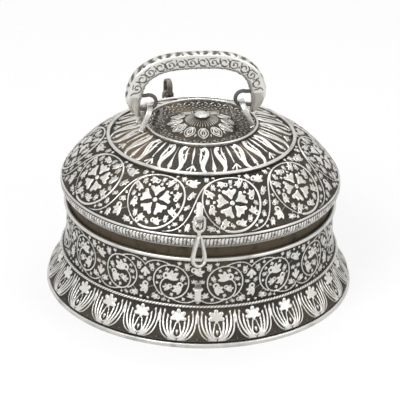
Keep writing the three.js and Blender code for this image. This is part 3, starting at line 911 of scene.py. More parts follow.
def chased_shell(name, node, body, finish, stretches, sink=0.55, steps=None):
    """A turned sheet with relief outside. stretches holds (Outline, band's maker) from the foot up."""
    size = sizes()
    steps = steps or size.around
    tall = size.relief / MM
    thickness = size.sheet / MM * SHELL_SHARE
    angle = np.arange(steps) * TAU / steps
    radius, height, relief, inner = [], [], [], []
    for outline, make_band in stretches:
        rows = max(int(outline.length / (size.row_step / MM)), 2)
        place = np.linspace(0, outline.length, rows)
        base, normal = outline.at(place), outline.normal(place)
        field = make_band(outline).sample(angle, place)
        edge = np.clip(np.minimum(place, outline.length - place) / EDGE_FADE, 0, 1)[:, None]
        lift = (field * edge - sink) * tall
        radius.append(base[:, :1] + normal[:, :1] * lift)
        height.append(base[:, 1:] + normal[:, 1:] * lift)
        relief.append(field * edge)
        few = np.linspace(0, outline.length, max(rows // 9, 3))
        inner.append(outline.at(few) - outline.normal(few) * (thickness + sink * tall))
    radius, height, relief = (np.concatenate(part) for part in (radius, height, relief))
    outer = np.stack([radius * np.cos(angle), radius * np.sin(angle), height], -1)
    # Painted shade: the hollow share darkens concave places as occlusion that the shallow relief cannot cast,
    # besides the oxide that gathers there.
    blurred, samples = relief.copy(), 1
    for shift in (1, 2, 3):
        for axis in (0, 1):
            blurred += np.roll(relief, shift, axis) + np.roll(relief, -shift, axis)
            samples += 2
    hollow_shade = np.clip((blurred / samples - relief) * HOLLOW_SHADE_GAIN, 0, 1)
    lining = turn_outline(np.concatenate(inner)[::-1], steps)
    vertices = np.concatenate([outer.reshape(-1, 3), lining])
    faces = grid_faces(len(vertices) // steps, steps, close_rows=True)
    inside = np.full(len(lining), LINING_TONE)
    add_piece(
        name, (vertices, faces), finish, body, [node], "chased_silver",
        {"relief": np.concatenate([np.clip(relief, 0, 1.2).ravel(), inside]),
         "hollow_shade": np.concatenate([hollow_shade.ravel(), inside * 0])},
    )


def turned_ring(name, node, body, outline, steps=240, finish="bright", slot="bright_silver"):
    """A closed outline of (radius, height) turned round Z, as one piece."""
    made = turn_outline(outline, steps), grid_faces(len(outline), steps, close_rows=True)
    add_piece(name, made, finish, body, [node], slot)


# The outlines of the sheets. Lid and girdle are a little slimmer than the solids, as in the photograph

SLIMMER_LID = 1.8
SLIMMER_GIRDLE = 2.0
WAIST_R = RIM_R - RIM_WIRE + 1.8
EDGE_R -= SLIMMER_LID
GIRDLE_R -= SLIMMER_GIRDLE
GIRDLE_Z += 0.6
WALL = Outline(bezier([
    (GIRDLE_R - GIRDLE_WIRE - 0.3, GIRDLE_Z), (WAIST_R - 1.9, GIRDLE_Z + 14),
    (WAIST_R - 0.6, RIM_Z - RIM_WIRE - 0.3),
], 40))
FOOT = Outline(bezier([
    (FOOT_R + FOOT_WIRE - 1, FOOT_Z * 2 + 0.6), (FOOT_R + FOOT_WIRE - 1.4, GIRDLE_Z - 12.5),
    (GIRDLE_R - GIRDLE_WIRE + 0.9, GIRDLE_Z - 9.5), (GIRDLE_R - GIRDLE_WIRE - 0.3, GIRDLE_Z),
], 40))
LID_R = EDGE_R + 1.2
LID_EDGE = EDGE_Z + 0.7
SHOULDER = SHOULDER_Z - 1.5
DOME = Outline(bezier([
    (LID_R - 0.9, LID_EDGE + 0.6), (LID_R - 9.0, LID_EDGE + 12.8),
    (SHOULDER_R + 9.6, SHOULDER - 1.7), (SHOULDER_R, SHOULDER),
], 60))
INNER_TOP = INNER_Z - 1.1
CROWN = Outline(bezier([
    (SHOULDER_R, SHOULDER), ((SHOULDER_R + INNER_R) / 2, SHOULDER + 6.4), (INNER_R, INNER_TOP),
], 40))
BUTTON_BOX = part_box("boss_button")
BUTTON_R = BUTTON_BOX[1].x / MM
BOSS_TOP = BUTTON_BOX[1].z / MM - 2.3
BOSS_R = 22.0
VALLEY = 2.4
BOSS = bezier([
    (INNER_R, INNER_TOP), (BOSS_R + 5, INNER_TOP - VALLEY - 1),
    (BOSS_R - 3, INNER_TOP - VALLEY + 1.6), (BUTTON_R - 1.4, BOSS_TOP),
], 80)
BOSS_FLAT = Outline(BOSS[BOSS[:, 0] >= BOSS_R])
BOSS_RISE = Outline(BOSS[BOSS[:, 0] <= BOSS_R])


class SILVER_OT_base(bpy.types.Operator):
    """Makes the chased foot and wall, the foot ring, the twisted girdle, the rim and the collar"""

    bl_idname = "silver.base"
    bl_label = "Base"

    def execute(self, context):
        chased_shell(
            "base_wall_chased", "base_wall", "base", "chased", [(FOOT, foot_band), (WALL, wall_band)],
        )
        foot = round_section(FOOT_WIRE, FOOT_WIRE, 18, 2.6)
        foot[:, 1] = np.clip(foot[:, 1], -FOOT_Z, FOOT_Z)
        turned_ring("foot_ring_round", "foot_ring", "base", foot + (FOOT_R, FOOT_Z), steps=288)
        self.rope()
        rim = round_section(RIM_WIRE, RIM_WIRE, 16, 2.2) * (1, 0.95)
        turned_ring("rim_wire_round", "rim_wire", "base", rim + (RIM_R, RIM_Z), steps=288)
        self.collar()
        low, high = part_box("base_floor")
        self.floor_plate(high.x / MM, low.z / MM, high.z / MM)
        return {"FINISHED"}

    def collar(self):
        """The inner collar: a step under the rim, and a rounded lip with a fine line on top."""
        low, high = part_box("base_collar")
        step = 0.5
        outer, lip = high.x / MM, high.x / MM - step
        inner = lip - sizes().sheet / MM
        bottom, top = low.z / MM, high.z / MM
        outline = [
            (outer, bottom), (outer, RIM_Z - 2.6), (outer - 0.1, RIM_Z - 2.0), (lip, RIM_Z - 1.4),
            (lip, RIM_Z + 3), (lip, top - 3.4), (lip - 0.1, top - 3.1), (lip, top - 2.8), (lip, top - 0.5),
            (lip - 0.2, top - 0.1), (lip - 0.5, top), (inner + 0.3, top), (inner, top - 0.3), (inner, bottom),
        ]
        # Its dark brown finish is tarnish plus painted shade from the lid's overhang.
        turned_ring("base_collar_turned", "base_collar", "base", outline, 240, "brown", "dark_silver")

    def rope(self):
        """The girdle: two strands twisted together and laid round the waist."""
        turns = sizes().rope_turns
        steps, sides = turns * 8, 10
        valley, swell = 0.78, 0.22  # shares of the wire's radius, between the strands and over it on them
        angle = np.arange(steps) * TAU / steps
        around = np.arange(sides) * TAU / sides
        twist = around[None] - angle[:, None] * turns / 2
        radius = GIRDLE_WIRE * (valley + swell * np.abs(np.cos(twist)) ** 0.7)
        reach = GIRDLE_R + radius * np.cos(around)
        vertices = np.stack([
            reach * np.cos(angle)[:, None], reach * np.sin(angle)[:, None],
            GIRDLE_Z + radius * np.sin(around),
        ], -1).reshape(-1, 3)
        relief = np.clip((radius / GIRDLE_WIRE - valley) / swell * 1.1, 0, 1)
        add_piece(
            "girdle_rope", (vertices, grid_faces(steps, sides, close_rows=True)), "engraved", "base",
            ["girdle_wire"], "bright_silver",
            {"relief": relief.ravel(), "hollow_shade": relief.ravel() * 0},
        )

    def floor_plate(self, radius, bottom, top):
        """The floor: a planished disc with shallow hammer rings on both faces."""
        reach = np.linspace(0.02, 1, 46) * radius
        marks = 0.1 * np.cos(reach * 1.1)
        marks[-1] = 0
        lower = np.stack([reach, bottom + 0.12 + marks], -1)
        upper = np.stack([reach, top - 0.12 + marks], -1)[::-1]
        plate = capped_turn(np.concatenate([lower, upper]), 180)
        add_piece("base_floor_planished", plate, "inside", "base", ["base_floor"], "dark_silver")


class SILVER_OT_lid(bpy.types.Operator):
    """Makes the chased dome, its crown and lotus boss, the engraved edge band and the wires"""

    bl_idname = "silver.lid"
    bl_label = "Lid"

    def execute(self, context):
        chased_shell("lid_dome_chased", "lid_dome", "lid", "chased", [(DOME, dome_band)])
        chased_shell(
            "lid_crown_chased", "lid_dome", "lid", "chased_warm",
            [(CROWN, crown_band), (BOSS_FLAT, inner_band), (BOSS_RISE, boss_band)],
            steps=int(sizes().around * 0.75),
        )
        self.edge_band()
        for node, radius, height, wire in (
            ("lid_edge_wire", EDGE_R, EDGE_Z, EDGE_WIRE), ("inner_ring_wire", INNER_R, INNER_Z, INNER_WIRE),
        ):
            turned_ring(f"{node}_round", node, "lid", round_section(wire, wire, 12) + (radius, height))
        double = []
        for x, y in round_section(SHOULDER_WIRE, SHOULDER_WIRE, 24):
            groove = 0.28 * math.exp(-((math.atan2(y, x) - math.radians(55)) / 0.16) ** 2)
            double.append((x * (1 - groove) + SHOULDER_R, y * (1 - groove) + SHOULDER_Z))
        turned_ring("shoulder_wire_double", "shoulder_wire", "lid", double)
        self.button()
        return {"FINISHED"}

    def button(self):
        """The button: a flat knob with a point, on a stem with a foot inside the lid."""
        low, stem = BUTTON_BOX[0].z / MM, BUTTON_R - 1.75
        under = [(0.3, 0), (stem + 1.4, 0), (stem + 1.5, 0.9), (stem, 1.2)]
        over = [
            (stem, 0.25), (BUTTON_R - 0.3, 0.3), (BUTTON_R, 0.65), (BUTTON_R - 0.15, 1.05),
            (BUTTON_R * 0.8, 1.55), (BUTTON_R * 0.55, 1.8), (BUTTON_R * 0.4, 1.75), (1.25, 1.7),
            (1.15, 2.1), (0.7, 2.25), (0.3, 2.3),
        ]
        outline = [(radius, low + z) for radius, z in under] + [(radius, BOSS_TOP + z) for radius, z in over]
        add_piece(
            "boss_button_turned", capped_turn(outline, 72), "bright", "lid", ["boss_button"], "bright_silver",
        )

    def edge_band(self):
        """The rounded band under the lid's edge moulding."""
        low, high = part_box("lid_band")
        bottom, top = low.z / MM, high.z / MM
        bulge = Outline(bezier([
            (LID_R - 4.6, bottom), (LID_R - 1.2, bottom + 2.6), (LID_R + 0.5, top - 2.6), (LID_R - 0.9, top),
        ], 30))
        chased_shell(
            "lid_band_engraved", "lid_band", "lid", "engraved", [(bulge, under_band)], sink=0.75, steps=960,
        )


# The handle, straps and hasp

HANDLE_YAW = math.radians(9.5)
YAW = np.array([
    [math.cos(HANDLE_YAW), math.sin(HANDLE_YAW), 0],
    [-math.sin(HANDLE_YAW), math.cos(HANDLE_YAW), 0],
    [0, 0, 1],
])
HANDLE_SHIFT = -4.0
PIVOT_Z = 112.0
EYE_OUT, EYE_RISE, EYE_R = 29.0, 8.0, 4.6
EYE_WIRE, EYE_TONE = 1.15, 0.26


def with_yaw(points):
    """Points of the handle group, moved and turned to its place on the lid."""
    return (np.asarray(points, float) + (HANDLE_SHIFT, 0, 0)) @ YAW


class SILVER_OT_handle(bpy.types.Operator):
    """Makes the swing handle: a flat-faced bar with engraved faces and eye ends"""

    bl_idname = "silver.handle"
    bl_label = "Handle"

    side_at: FloatProperty(
        name="Side", description="Bar centre from the middle", default=0.0381, unit="LENGTH",
    )
    top_at: FloatProperty(
        name="Top", description="Bar centre height at the top", default=0.1462, unit="LENGTH",
    )
    bar_high: FloatProperty(
        name="Bar height", description="Width of the flat face", default=0.0104, unit="LENGTH",
    )
    bar_deep: FloatProperty(
        name="Bar depth", description="Depth of the bar", default=0.009, unit="LENGTH",
    )
    half_span: FloatProperty(
        name="Half span", description="Tip from the middle", default=0.0346, unit="LENGTH",
    )
    tip: FloatProperty(
        name="Tip radius", description="Radius of the bar at its pointed ends",
        default=0.00095, unit="LENGTH",
    )

    def execute(self, context):
        side_at, top_at, tip = self.side_at / MM, self.top_at / MM, self.tip / MM
        half_high, half_deep = self.bar_high / MM / 2, self.bar_deep / MM / 2
        half_span = self.half_span / MM

        def arm(side):
            """One side's points, from the pointed tip up to near the top."""
            return [
                (side * half_span, 0, PIVOT_Z - 1.4), (side * (side_at - 0.6), 0, PIVOT_Z + 5.4),
                (side * side_at, 0, PIVOT_Z + 13), (side * (side_at - 4.6), 0, top_at - 9.6),
                (side * (side_at - 16), 0, top_at - 2.2),
            ]

        path = smooth_path([*arm(-1), (0, 0, top_at), *arm(1)[::-1]], 300)
        gaps = np.linalg.norm(np.diff(path, axis=0), axis=1)
        along = np.concatenate([[0], np.cumsum(gaps)])
        length = along[-1]
        sides = 96
        lines = self.engraving(length, half_high)
        rings, relief = [], []
        for i, spot in enumerate(path):
            before, after = path[max(i - 1, 0)], path[min(i + 1, len(path) - 1)]
            tangent = (after - before) / np.linalg.norm(after - before)
            normal = np.cross((0, 1, 0), tangent)
            share = i / (len(path) - 1)
            full = min(1, min(share, 1 - share) / 0.2) ** 0.72
            high = tip + (half_high - tip) * full
            deep = tip + (half_deep - tip) * full
            shape = round_section(high, deep, sides, 2.0 + 1.6 * full)
            across = shape[:, 0] / high
            face = np.abs(shape[:, 1]) / deep
            depth, crest = lines(along[i], across, face, full)
            shape = shape * (1 - depth[:, None] / np.linalg.norm(shape, axis=1)[:, None])
            rings.append(spot + shape[:, :1] * normal + shape[:, 1:] * (0, 1, 0))
            relief.append(crest)
        vertices = np.concatenate(rings)
        tones = np.concatenate(relief)
        parts = [(vertices, capped_faces(len(path), sides))]
        for side in (-1, 1):
            centre = np.array([EYE_OUT, PIVOT_Z + EYE_RISE])
            bow = arc(EYE_R, 70, 290, 24) + centre
            line = np.concatenate([
                [(side_at - 1, bow[0][1] + 0.2)], bow, [(side_at - 2.5, bow[-1][1] - 0.2)],
            ])
            eye = smooth_path(np.stack([line[:, 0] * side, line[:, 0] * 0, line[:, 1]], -1), 70)
            made = sweep(eye, lambda share: round_section(EYE_WIRE, EYE_WIRE, 14), side=(0, 1, 0))
            parts.append(made)
            tones = np.concatenate([tones, np.full(len(made[0]), EYE_TONE)])
        points, polygons = join_meshes(parts)
        add_piece(
            "handle_engraved", (with_yaw(points), polygons), "engraved", "handle", ["handle"],
            "bright_silver", {"relief": tones, "hollow_shade": tones * 0},
        )
        return {"FINISHED"}

    @staticmethod
    def engraving(length, half_high):
        """Depth and tone of the engraved scrolls on the flat faces and the leaves on the back."""
        curls = []
        count = 14
        for number in range(count):
            at = length * (0.14 + 0.72 * (number + 0.5) / count)
            flip = 1 if number % 2 else -1
            curve = spiral(3.1, 1.2, 18, 0.2) * (flip, 1) + (at, -0.2 * flip)
            tail = bezier([curve[0], curve[0] + (0.6 * flip, -2.4), (at + 5.2 * flip, -2.6)], 6)
            leaf = bezier([(at + 3.6, 2.6 * flip), (at + 4.6, 0.6 * flip), (at + 3.0, -1.2 * flip)], 6)
            curls += [curve, tail, leaf, np.array([(at - 1.2, 2.4 * flip), (at + 1.4, 3.0 * flip)])]
        starts = np.concatenate([c[:-1] for c in curls])
        ends = np.concatenate([c[1:] for c in curls])
        span = ends - starts
        size = np.maximum((span ** 2).sum(1), 1e-9)

        def lines(at, across, face, full):
            """Depths and tones round the bar, at a place along it."""
            y = across * half_high
            place = np.stack([np.full_like(y, at), y], -1)
            near = np.abs(starts[:, 0] - at) < 8
            gap = np.full(len(y), 9.0)
            if near.any():
                offset = place[:, None] - starts[None, near]
                share = np.clip((offset * span[near]).sum(-1) / size[near], 0, 1)
                gap = np.linalg.norm(offset - share[..., None] * span[near], axis=-1).min(1)
            on_face = np.clip((face - 0.9) / 0.08, 0, 1)
            groove = np.clip(1.9 - gap / 0.24, 0, 1)
            border = np.maximum(
                np.clip(1.4 - np.abs(y - half_high * 0.76) / 0.26, 0, 1),
                np.clip(1.4 - np.abs(y + half_high * 0.82) / 0.24, 0, 1))
            cut = np.maximum(groove, border) * on_face * np.clip(full * 3 - 1.6, 0, 1)
            back = np.clip((np.abs(across) - 0.84) / 0.1, 0, 1) * np.clip(full * 3 - 1.8, 0, 1)
            leaves = 0.5 + 0.5 * np.sin(at * 1.15 + 2.4 * np.abs(face) * np.sign(np.sin(at * 0.29)))
            depth = cut * 0.22 + back * (1 - leaves) * 0.55
            tone = np.clip(1.0 - cut * 0.9 - back * (1.1 - leaves) * 0.8, 0, 1)
            return depth, tone

        return lines


# The straps are swept bars in millimetres. A side is the way of a strap's width.

STAPLE_STRAP = 1.1
HASP_PIVOT = (87.4, 82.2)
HASP_LEAN = math.radians(11.5)
LOOP_TURN = math.radians(28)
REAR_TURN = math.radians(110)
REAR_R = 64.0
REAR_OUT = np.array([math.cos(REAR_TURN), math.sin(REAR_TURN), 0])
REAR_ACROSS = np.array([math.sin(REAR_TURN), -math.cos(REAR_TURN), 0])
HANDLE_STRAPS = (
    # name, foot and top from the middle, span, width, thickness, notches, finish, slot
    ("staple", 34.2, 28.0, 15.0, 3.6, 1.9, 0, "bright", "bright_silver"),
    ("beaded_strap", 25.0, 21.2, 14.0, 1.8, 1.5, 9, "dark", "dark_silver"),
)
FRONT_STAPLES = (
    # node, body, foot as (outwards, up), tilt in degrees, span, reach
    ("lid_staple", "lid", (80.8, 82.0), 38, 10.4, 9.6),
    ("base_staple", "base", (WALL.radius(10.0), 32.6), 0, 9.6, 7.6),
)
# Thickness and width of the straps of the hasp's eye, its loop and the rear ring
HASP_EYE = (1.5, 1.9)
HASP_LOOP = (1.8, 3.6)
REAR_RING = (1.3, 3.4)
RIVETS_AT = (-16.5, -5.5, 5.5, 16.5)
RIVET = ((0.15, -0.3), (1.45, -0.3), (1.4, 0.15), (1.1, 0.55), (0.6, 0.8), (0.15, 0.86))
PIN_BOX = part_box("hinge_pin")
HINGE_Y = (PIN_BOX[0].y + PIN_BOX[1].y) / 2 / MM
HINGE_Z = (PIN_BOX[0].z + PIN_BOX[1].z) / 2 / MM
KNUCKLE, KNUCKLE_PITCH = 8.0, 8.35
KNUCKLE_SPAN = KNUCKLE_PITCH * 4 + KNUCKLE
KNUCKLE_R = 2.3


def strap_bar(path, thick, width, side, closed=False, notches=0):
    """A flat strap with rounded edges along a path, with notches across its outer face if asked."""
    def section(share):
        """The section at a share of the path, thinner in a notch."""
        dip = 0.34 * abs(math.cos(math.pi * notches * share)) if notches else 0
        return round_section(thick / 2 * (1 - dip), width / 2, 16, 3.6)

    return sweep(path, section, side=side, closed=closed)


def arch_line(feet, top, span, strap):
    """The middle line of an arch, as (across, up)."""
    half = span / 2 - strap / 2
    turn = np.linspace(math.pi, 0, 33)
    crown = np.stack([half * np.cos(turn), top - strap / 2 - half + half * np.sin(turn)], -1)
    leg = np.linspace(feet, top - strap / 2 - half, 8)[:-1]
    left = np.stack([np.full(7, -half), leg], -1)
    return np.concatenate([left, crown, (left * (-1, 1))[::-1]])


def staple_line(reach, span, strap, corner=2.0, root=-1.0):
    """The middle line of a staple seen from its side, as (outwards, up), from its upper root down."""
    high, out = span / 2 - strap / 2, reach - strap / 2
    bend = bezier([(out - corner, high), (out, high), (out, high - corner)], 9)
    upper = np.concatenate([[(root, high), ((root + out) / 2, high)], bend])
    return np.concatenate([upper, [(out, 0)], (upper * (1, -1))[::-1]])


def long_ring(high, low, width, strap):
    """The middle line of a long ring with straight sides and round ends, as (across, up)."""
    half = width / 2 - strap / 2
    top = arc(half, 0, 180, 19) + (0, high - width / 2)
    bottom = arc(half, 180, 360, 19) + (0, low + width / 2)
    middle = (high + low) / 2
    return np.concatenate([top, [(-half, middle)], bottom, [(half, middle)]])


def upright(line, across=(1, 0, 0), at=(0, 0, 0)):
    """A line of (across, up) as points in space."""
    return line[:, :1] * np.asarray(across, float) + line[:, 1:] * (0, 0, 1) + np.asarray(at, float)


def dome_height(radius):
    """The height of the lid's sheet at a radius."""
    points = np.concatenate([DOME.points, CROWN.points, BOSS])
    order = np.argsort(points[:, 0])
    return float(np.interp(radius, points[order, 0], points[order, 1]))


class SILVER_OT_staples(bpy.types.Operator):
    """Makes the handle's plain and beaded straps, the two front staples and the rear staple"""

    bl_idname = "silver.staples"
    bl_label = "Staples"

    def execute(self, context):
        for label, side in (("left", -1), ("right", 1)):
            for kind, *shape in HANDLE_STRAPS:
                self.handle_strap(f"{label}_{kind}", side, *shape)
        for staple in FRONT_STAPLES:
            self.front(*staple)
        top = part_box("rear_staple")[1].z / MM
        arch = arch_line(dome_height(REAR_R) - 1.4, top, 7.2, STAPLE_STRAP)
        line = upright(arch, REAR_ACROSS, REAR_OUT * REAR_R)
        strap = strap_bar(line, STAPLE_STRAP, 3.0, REAR_OUT)
        add_piece("rear_staple_strap", strap, "dark", "lid", ["rear_staple"], "dark_silver")
        return {"FINISHED"}

    def handle_strap(self, node, side, foot_at, top_at, span, width, thick, notches, finish, slot):
        """One arch across the lid whose top leans towards the middle."""
        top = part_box(node)[1].z / MM
        foot = dome_height(math.hypot(foot_at, span / 2)) - 0.5
        lean = (foot_at - top_at) / (top - foot)
        line = arch_line(foot, top + 0.4, span, thick)
        x = side * (foot_at - lean * (line[:, 1] - foot))
        points = with_yaw(np.stack([x, line[:, 0], line[:, 1]], -1))
        face = np.array([1, 0, side * lean]) / math.hypot(1, lean)
        if notches:
            shares = np.linspace(0, len(points) - 1, 150)
            known = np.arange(len(points))
            points = np.stack([np.interp(shares, known, points[:, i]) for i in range(3)], -1)
        strap = strap_bar(points, thick, width, face @ YAW, notches=notches * 2)
        add_piece(f"{node}_round", strap, finish, "lid", [node], slot)

    def front(self, node, body, foot, tilt, span, reach):
        """A staple for the lock: its strap leaves the sheet, turns down and comes back."""
        line = staple_line(reach, span, STAPLE_STRAP)
        tilt = math.radians(tilt)
        out = foot[0] + line[:, 0] * math.cos(tilt) - line[:, 1] * math.sin(tilt)
        up = foot[1] + line[:, 0] * math.sin(tilt) + line[:, 1] * math.cos(tilt)
        path = np.stack([out * 0, -out, up], -1)
        strap = strap_bar(path, STAPLE_STRAP, 3.9, (1, 0, 0))
        add_piece(f"{node}_strap", strap, "bright", body, [node], "bright_silver")


class SILVER_OT_fittings(bpy.types.Operator):
    """Makes the hasp, the rear ring, and the hinge's leaves, knuckles, rivets and pin"""

    bl_idname = "silver.fittings"
    bl_label = "Fittings"

    def execute(self, context):
        self.hasp()
        low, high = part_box("rear_ring")
        ring = upright(long_ring(high.z / MM, low.z / MM, 9.2, REAR_RING[0]), REAR_OUT, REAR_OUT * REAR_R)
        strap = strap_bar(ring, *REAR_RING, REAR_ACROSS, closed=True)
        add_piece("rear_ring_strap", strap, "dark", "rear_ring", ["rear_ring"], "dark_silver")
        self.leaf("hinge_lid_leaf", "lid", LID_R, 1)
        self.leaf("hinge_base_leaf", "base", WAIST_R - 0.5, 0)
        low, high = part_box("hinge_pin")
        start, end = low.x / MM, high.x / MM
        head, shaft = 1.9, 1.1
        outline = [
            (0.3, start), (1.5, start + 0.1), (head, start + 0.5), (head, start + 0.9), (shaft, start + 1.0),
            (shaft, end - 1.0), (head, end - 0.9), (head, end - 0.5), (1.5, end - 0.1), (0.3, end),
        ]
        vertices, faces = capped_turn(outline, 24)
        laid = np.stack([vertices[:, 2], vertices[:, 0] + HINGE_Y, vertices[:, 1] + HINGE_Z], -1)
        pin = laid, facing_out(laid, faces)
        add_piece("hinge_pin_round", pin, "bright", "base", ["hinge_pin"], "bright_silver")
        return {"FINISHED"}

    def leaf(self, node, body, wall, first):
        """A curved hinge plate on the sheet, with rivets and knuckles on bent tongues."""
        low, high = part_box(node)
        above = first == 1
        bottom, top = (HINGE_Z + 3.6, high.z / MM) if above else (low.z / MM, HINGE_Z - 2.6)
        thick = 2.2 if above else 2.9
        middle = wall + thick / 2
        reach = KNUCKLE_SPAN / 2 / middle
        angle = np.linspace(-reach, reach, 25)
        level = np.full(25, (bottom + top) / 2)
        line = np.stack([middle * np.sin(angle), middle * np.cos(angle), level], -1)
        parts = [strap_bar(line, thick, top - bottom, (0, 0, 1))]
        edge = bottom if above else top

        def knuckle(share):
            """A round section, a little smaller at both ends."""
            return round_section(KNUCKLE_R - 0.25 * (abs(2 * share - 1) > 0.9), sides=24)

        for number in range(first, 5, 2):
            x = -KNUCKLE_SPAN / 2 + number * KNUCKLE_PITCH + KNUCKLE / 2
            ends = np.array([-1, -0.9, 0, 0.9, 1]) * KNUCKLE / 2
            barrel = np.stack([x + ends, ends * 0 + HINGE_Y, ends * 0 + HINGE_Z], -1)
            parts.append(sweep(barrel, knuckle, side=(0, 0, 1)))
            tongue = bezier([
                (x, middle, edge + (1 if above else -1)), (x, middle + 0.4, (edge + HINGE_Z) / 2),
                (x, HINGE_Y - 0.6, HINGE_Z + (1.4 if above else -1.4)),
            ], 8)
            parts.append(strap_bar(tongue, 1.5, KNUCKLE, (1, 0, 0)))
        for x in RIVETS_AT:
            vertices, faces = capped_turn(RIVET, 20)
            lean = math.asin(x / (wall + thick))
            out = np.array([math.sin(lean), math.cos(lean), 0])
            beside = np.array([math.cos(lean), -math.sin(lean), 0])
            spot = out * (wall + thick) + (0, 0, (bottom + top) / 2)
            head = vertices[:, :1] * beside + vertices[:, 1:2] * (0, 0, 1) + vertices[:, 2:] * out + spot
            parts.append((head, facing_out(head, faces)))
        add_piece(f"{node}_riveted", join_meshes(parts), "strap", body, [node], "bright_silver")

    def hasp(self):
        """A strap eye and a wider strap loop that is turned against it, with a round neck between."""
        def hung(points):
            """Points leant about the hasp's pivot and moved out to it."""
            y, z = points[:, 1], points[:, 2] - HASP_PIVOT[1]
            cosine, sine = math.cos(HASP_LEAN), math.sin(HASP_LEAN)
            return np.stack([points[:, 0], y * cosine + z * sine - HASP_PIVOT[0],
                             z * cosine - y * sine + HASP_PIVOT[1]], -1)

        eye_top, eye_bottom, eye_width, inset = 84.8, 74.0, 7.4, 1.1
        ring = upright(long_ring(eye_top, eye_bottom, eye_width, inset))
        eye = strap_bar(ring, *HASP_EYE, (0, 1, 0), closed=True)
        turned = (math.cos(LOOP_TURN), math.sin(LOOP_TURN), 0)
        square = (-math.sin(LOOP_TURN), math.cos(LOOP_TURN), 0)
        bow_r, bow_z = 4.0, 57.8
        bow = arc(bow_r, 200, 340, 15) + (0, bow_z)
        strand = bezier([bow[-1], (4.4, 61.0), (2.0, 66.0), (0.75, 71.5)], 14)[1:]
        drop = np.concatenate([(strand * (-1, 1))[::-1], bow, strand])
        loop = strap_bar(upright(drop, turned), *HASP_LOOP, square, closed=True)
        stem = np.stack([np.zeros(9), np.zeros(9), np.linspace(70.6, 74.6, 9)], -1)
        neck = sweep(
            stem, lambda share: round_section(1.1 + 0.25 * (2 * share - 1) ** 2, 1.0, 14), side=(0, 1, 0),
        )
        vertices, faces = join_meshes([eye, loop, neck])
        add_piece("hasp_strap", (hung(vertices), faces), "bright", "hasp", ["hasp"], "bright_silver")


LAMPS = (
    # name, place, size in metres, power in watts
    ("Key", (-0.55, -0.75, 0.95), 0.6, 8.0),
    ("Fill", (0.85, -0.5, 0.55), 0.5, 2.0),
    ("Top", (0.1, 0.35, 1.1), 0.7, 4.0),
)
LAMP_AIM = Vector((0, 0, 0.07))
LENS, SENSOR = 217.3, 36
CAMERA_RISE, CAMERA_ROLL = math.radians(27.6), math.radians(1.3)
CAMERA_AWAY, CAMERA_AIM = 1.52, Vector((0, 0, 0.0522))
FLOOR_R = 1.6
FLOOR_GLOW = 0.72


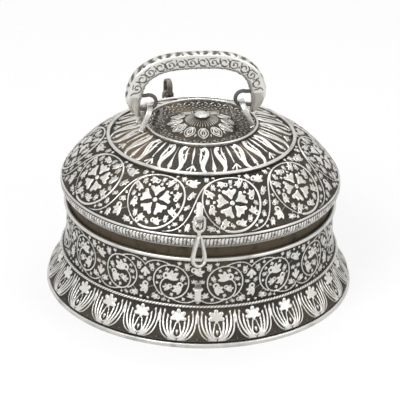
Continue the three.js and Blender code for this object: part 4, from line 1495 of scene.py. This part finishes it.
class SILVER_OT_stage(bpy.types.Operator):
    """Makes the pale floor, the white world, the soft lamps and the camera"""

    bl_idname = "silver.stage"
    bl_label = "Stage"

    def execute(self, context):
        scene = context.scene
        self.camera(scene)
        self.floor()
        self.world(scene)
        for name, place, size, power in LAMPS:
            light = bpy.data.lights.new(name, "AREA")
            light.energy = power
            light.size = size
            lamp = bpy.data.objects.new(name, light)
            scene.collection.objects.link(lamp)
            lamp.location = place
            aim = LAMP_AIM - Vector(place)
            lamp.rotation_euler = aim.to_track_quat("-Z", "Y").to_euler()
        scene.view_settings.view_transform = "Standard"
        return {"FINISHED"}

    def camera(self, scene):
        """A long lens on the front of the box, from above."""
        lens = bpy.data.cameras.new("Camera")
        lens.sensor_width = SENSOR
        lens.lens = LENS
        lens.clip_end = 20
        camera = bpy.data.objects.new("Camera", lens)
        scene.collection.objects.link(camera)
        place = Vector((0, -CAMERA_AWAY * math.cos(CAMERA_RISE), CAMERA_AWAY * math.sin(CAMERA_RISE)))
        turn = (CAMERA_AIM - place).to_track_quat("-Z", "Y").to_matrix().to_4x4()
        roll = Matrix.Rotation(CAMERA_ROLL, 4, "Z")
        camera.matrix_world = Matrix.Translation(place) @ turn @ roll
        scene.camera = camera

    def floor(self):
        """A pale disc: the camera sees it mostly as plain white, and other rays see its paint."""
        mesh = bpy.data.meshes.new("floor")
        steps = 96
        angle = np.arange(steps) * TAU / steps
        points = np.stack([FLOOR_R * np.cos(angle), FLOOR_R * np.sin(angle), angle * 0], -1)
        mesh.from_pydata(points.tolist(), [], [list(range(steps))])
        floor = bpy.data.objects.new("floor", mesh)
        bpy.context.scene.collection.objects.link(floor)
        shader = Shader("Pale floor")
        grain = shader.noise(300, 2)
        paint = shader.mix(grain * 0.02, tuple(colours().floor), (0.85, 0.85, 0.85))
        shader.set(Base_Color=paint, Roughness=0.9)
        tree = shader.tree
        glow = {"Color": (1, 1, 1, 1), "Strength": 1.0}
        emit = shader.add("ShaderNodeEmission", None, glow, "Emission")
        ray = shader.add("ShaderNodeLightPath", None, None, "Is Camera Ray")
        share = shader.add("ShaderNodeMixShader", None, {"Fac": ray * FLOOR_GLOW}, "Shader")
        mixer = share.socket.node
        tree.links.new(shader.surface.outputs[0], mixer.inputs[1])
        tree.links.new(emit.socket, mixer.inputs[2])
        tree.links.new(share.socket, tree.nodes["Material Output"].inputs["Surface"])
        mesh.materials.append(shader.material)

    def world(self, scene):
        """A white world, at full strength only to the camera, to reflections and through clear matter."""
        world = bpy.data.worlds.new("Studio")
        scene.world = world
        world.use_nodes = True
        tree = world.node_tree
        back = tree.nodes["Background"]
        path = tree.nodes.new("ShaderNodeLightPath")
        seen = Value(tree, path.outputs["Is Camera Ray"]) + Value(tree, path.outputs["Is Glossy Ray"])
        seen = (seen + Value(tree, path.outputs["Is Transmission Ray"])).clamped()
        strength = seen * 0.45 + 0.55  # 1 where it is seen, 0.55 as light on the box
        back.inputs["Color"].default_value = (1, 1, 1, 1)
        tree.links.new(strength.socket, back.inputs["Strength"])


class SILVER_PT_panel(bpy.types.Panel):
    """Lists the steps that build the box"""

    bl_label = "Silver box"
    bl_idname = "SILVER_PT_panel"
    bl_space_type = "VIEW_3D"
    bl_region_type = "UI"
    bl_category = "Silver box"

    def draw(self, context):
        column = self.layout.column()
        for step in STEPS:
            column.operator(step.bl_idname)
        for group in (context.scene.silver_sizes, context.scene.silver_colours):
            for key in group.bl_rna.properties.keys():
                if key not in ("rna_type", "name"):
                    column.prop(group, key)


STEPS = (
    SILVER_OT_base, SILVER_OT_lid, SILVER_OT_handle, SILVER_OT_staples, SILVER_OT_fittings, SILVER_OT_stage,
)
CLASSES = (BoxSizes, BoxColours, *STEPS, SILVER_PT_panel)


def register():
    """Adds the classes and the scene's sizes and colours."""
    for item in CLASSES:
        bpy.utils.register_class(item)
    bpy.types.Scene.silver_sizes = PointerProperty(type=BoxSizes)
    bpy.types.Scene.silver_colours = PointerProperty(type=BoxColours)


def unregister():
    """Takes away what register added."""
    del bpy.types.Scene.silver_colours
    del bpy.types.Scene.silver_sizes
    for item in reversed(CLASSES):
        bpy.utils.unregister_class(item)


def main():
    """Builds the box step by step."""
    register()
    bpy.ops.silver.base()
    bpy.ops.silver.lid()
    bpy.ops.silver.handle()
    bpy.ops.silver.staples()
    bpy.ops.silver.fittings()
    bpy.ops.silver.stage()


if __name__ == "__main__":
    main()
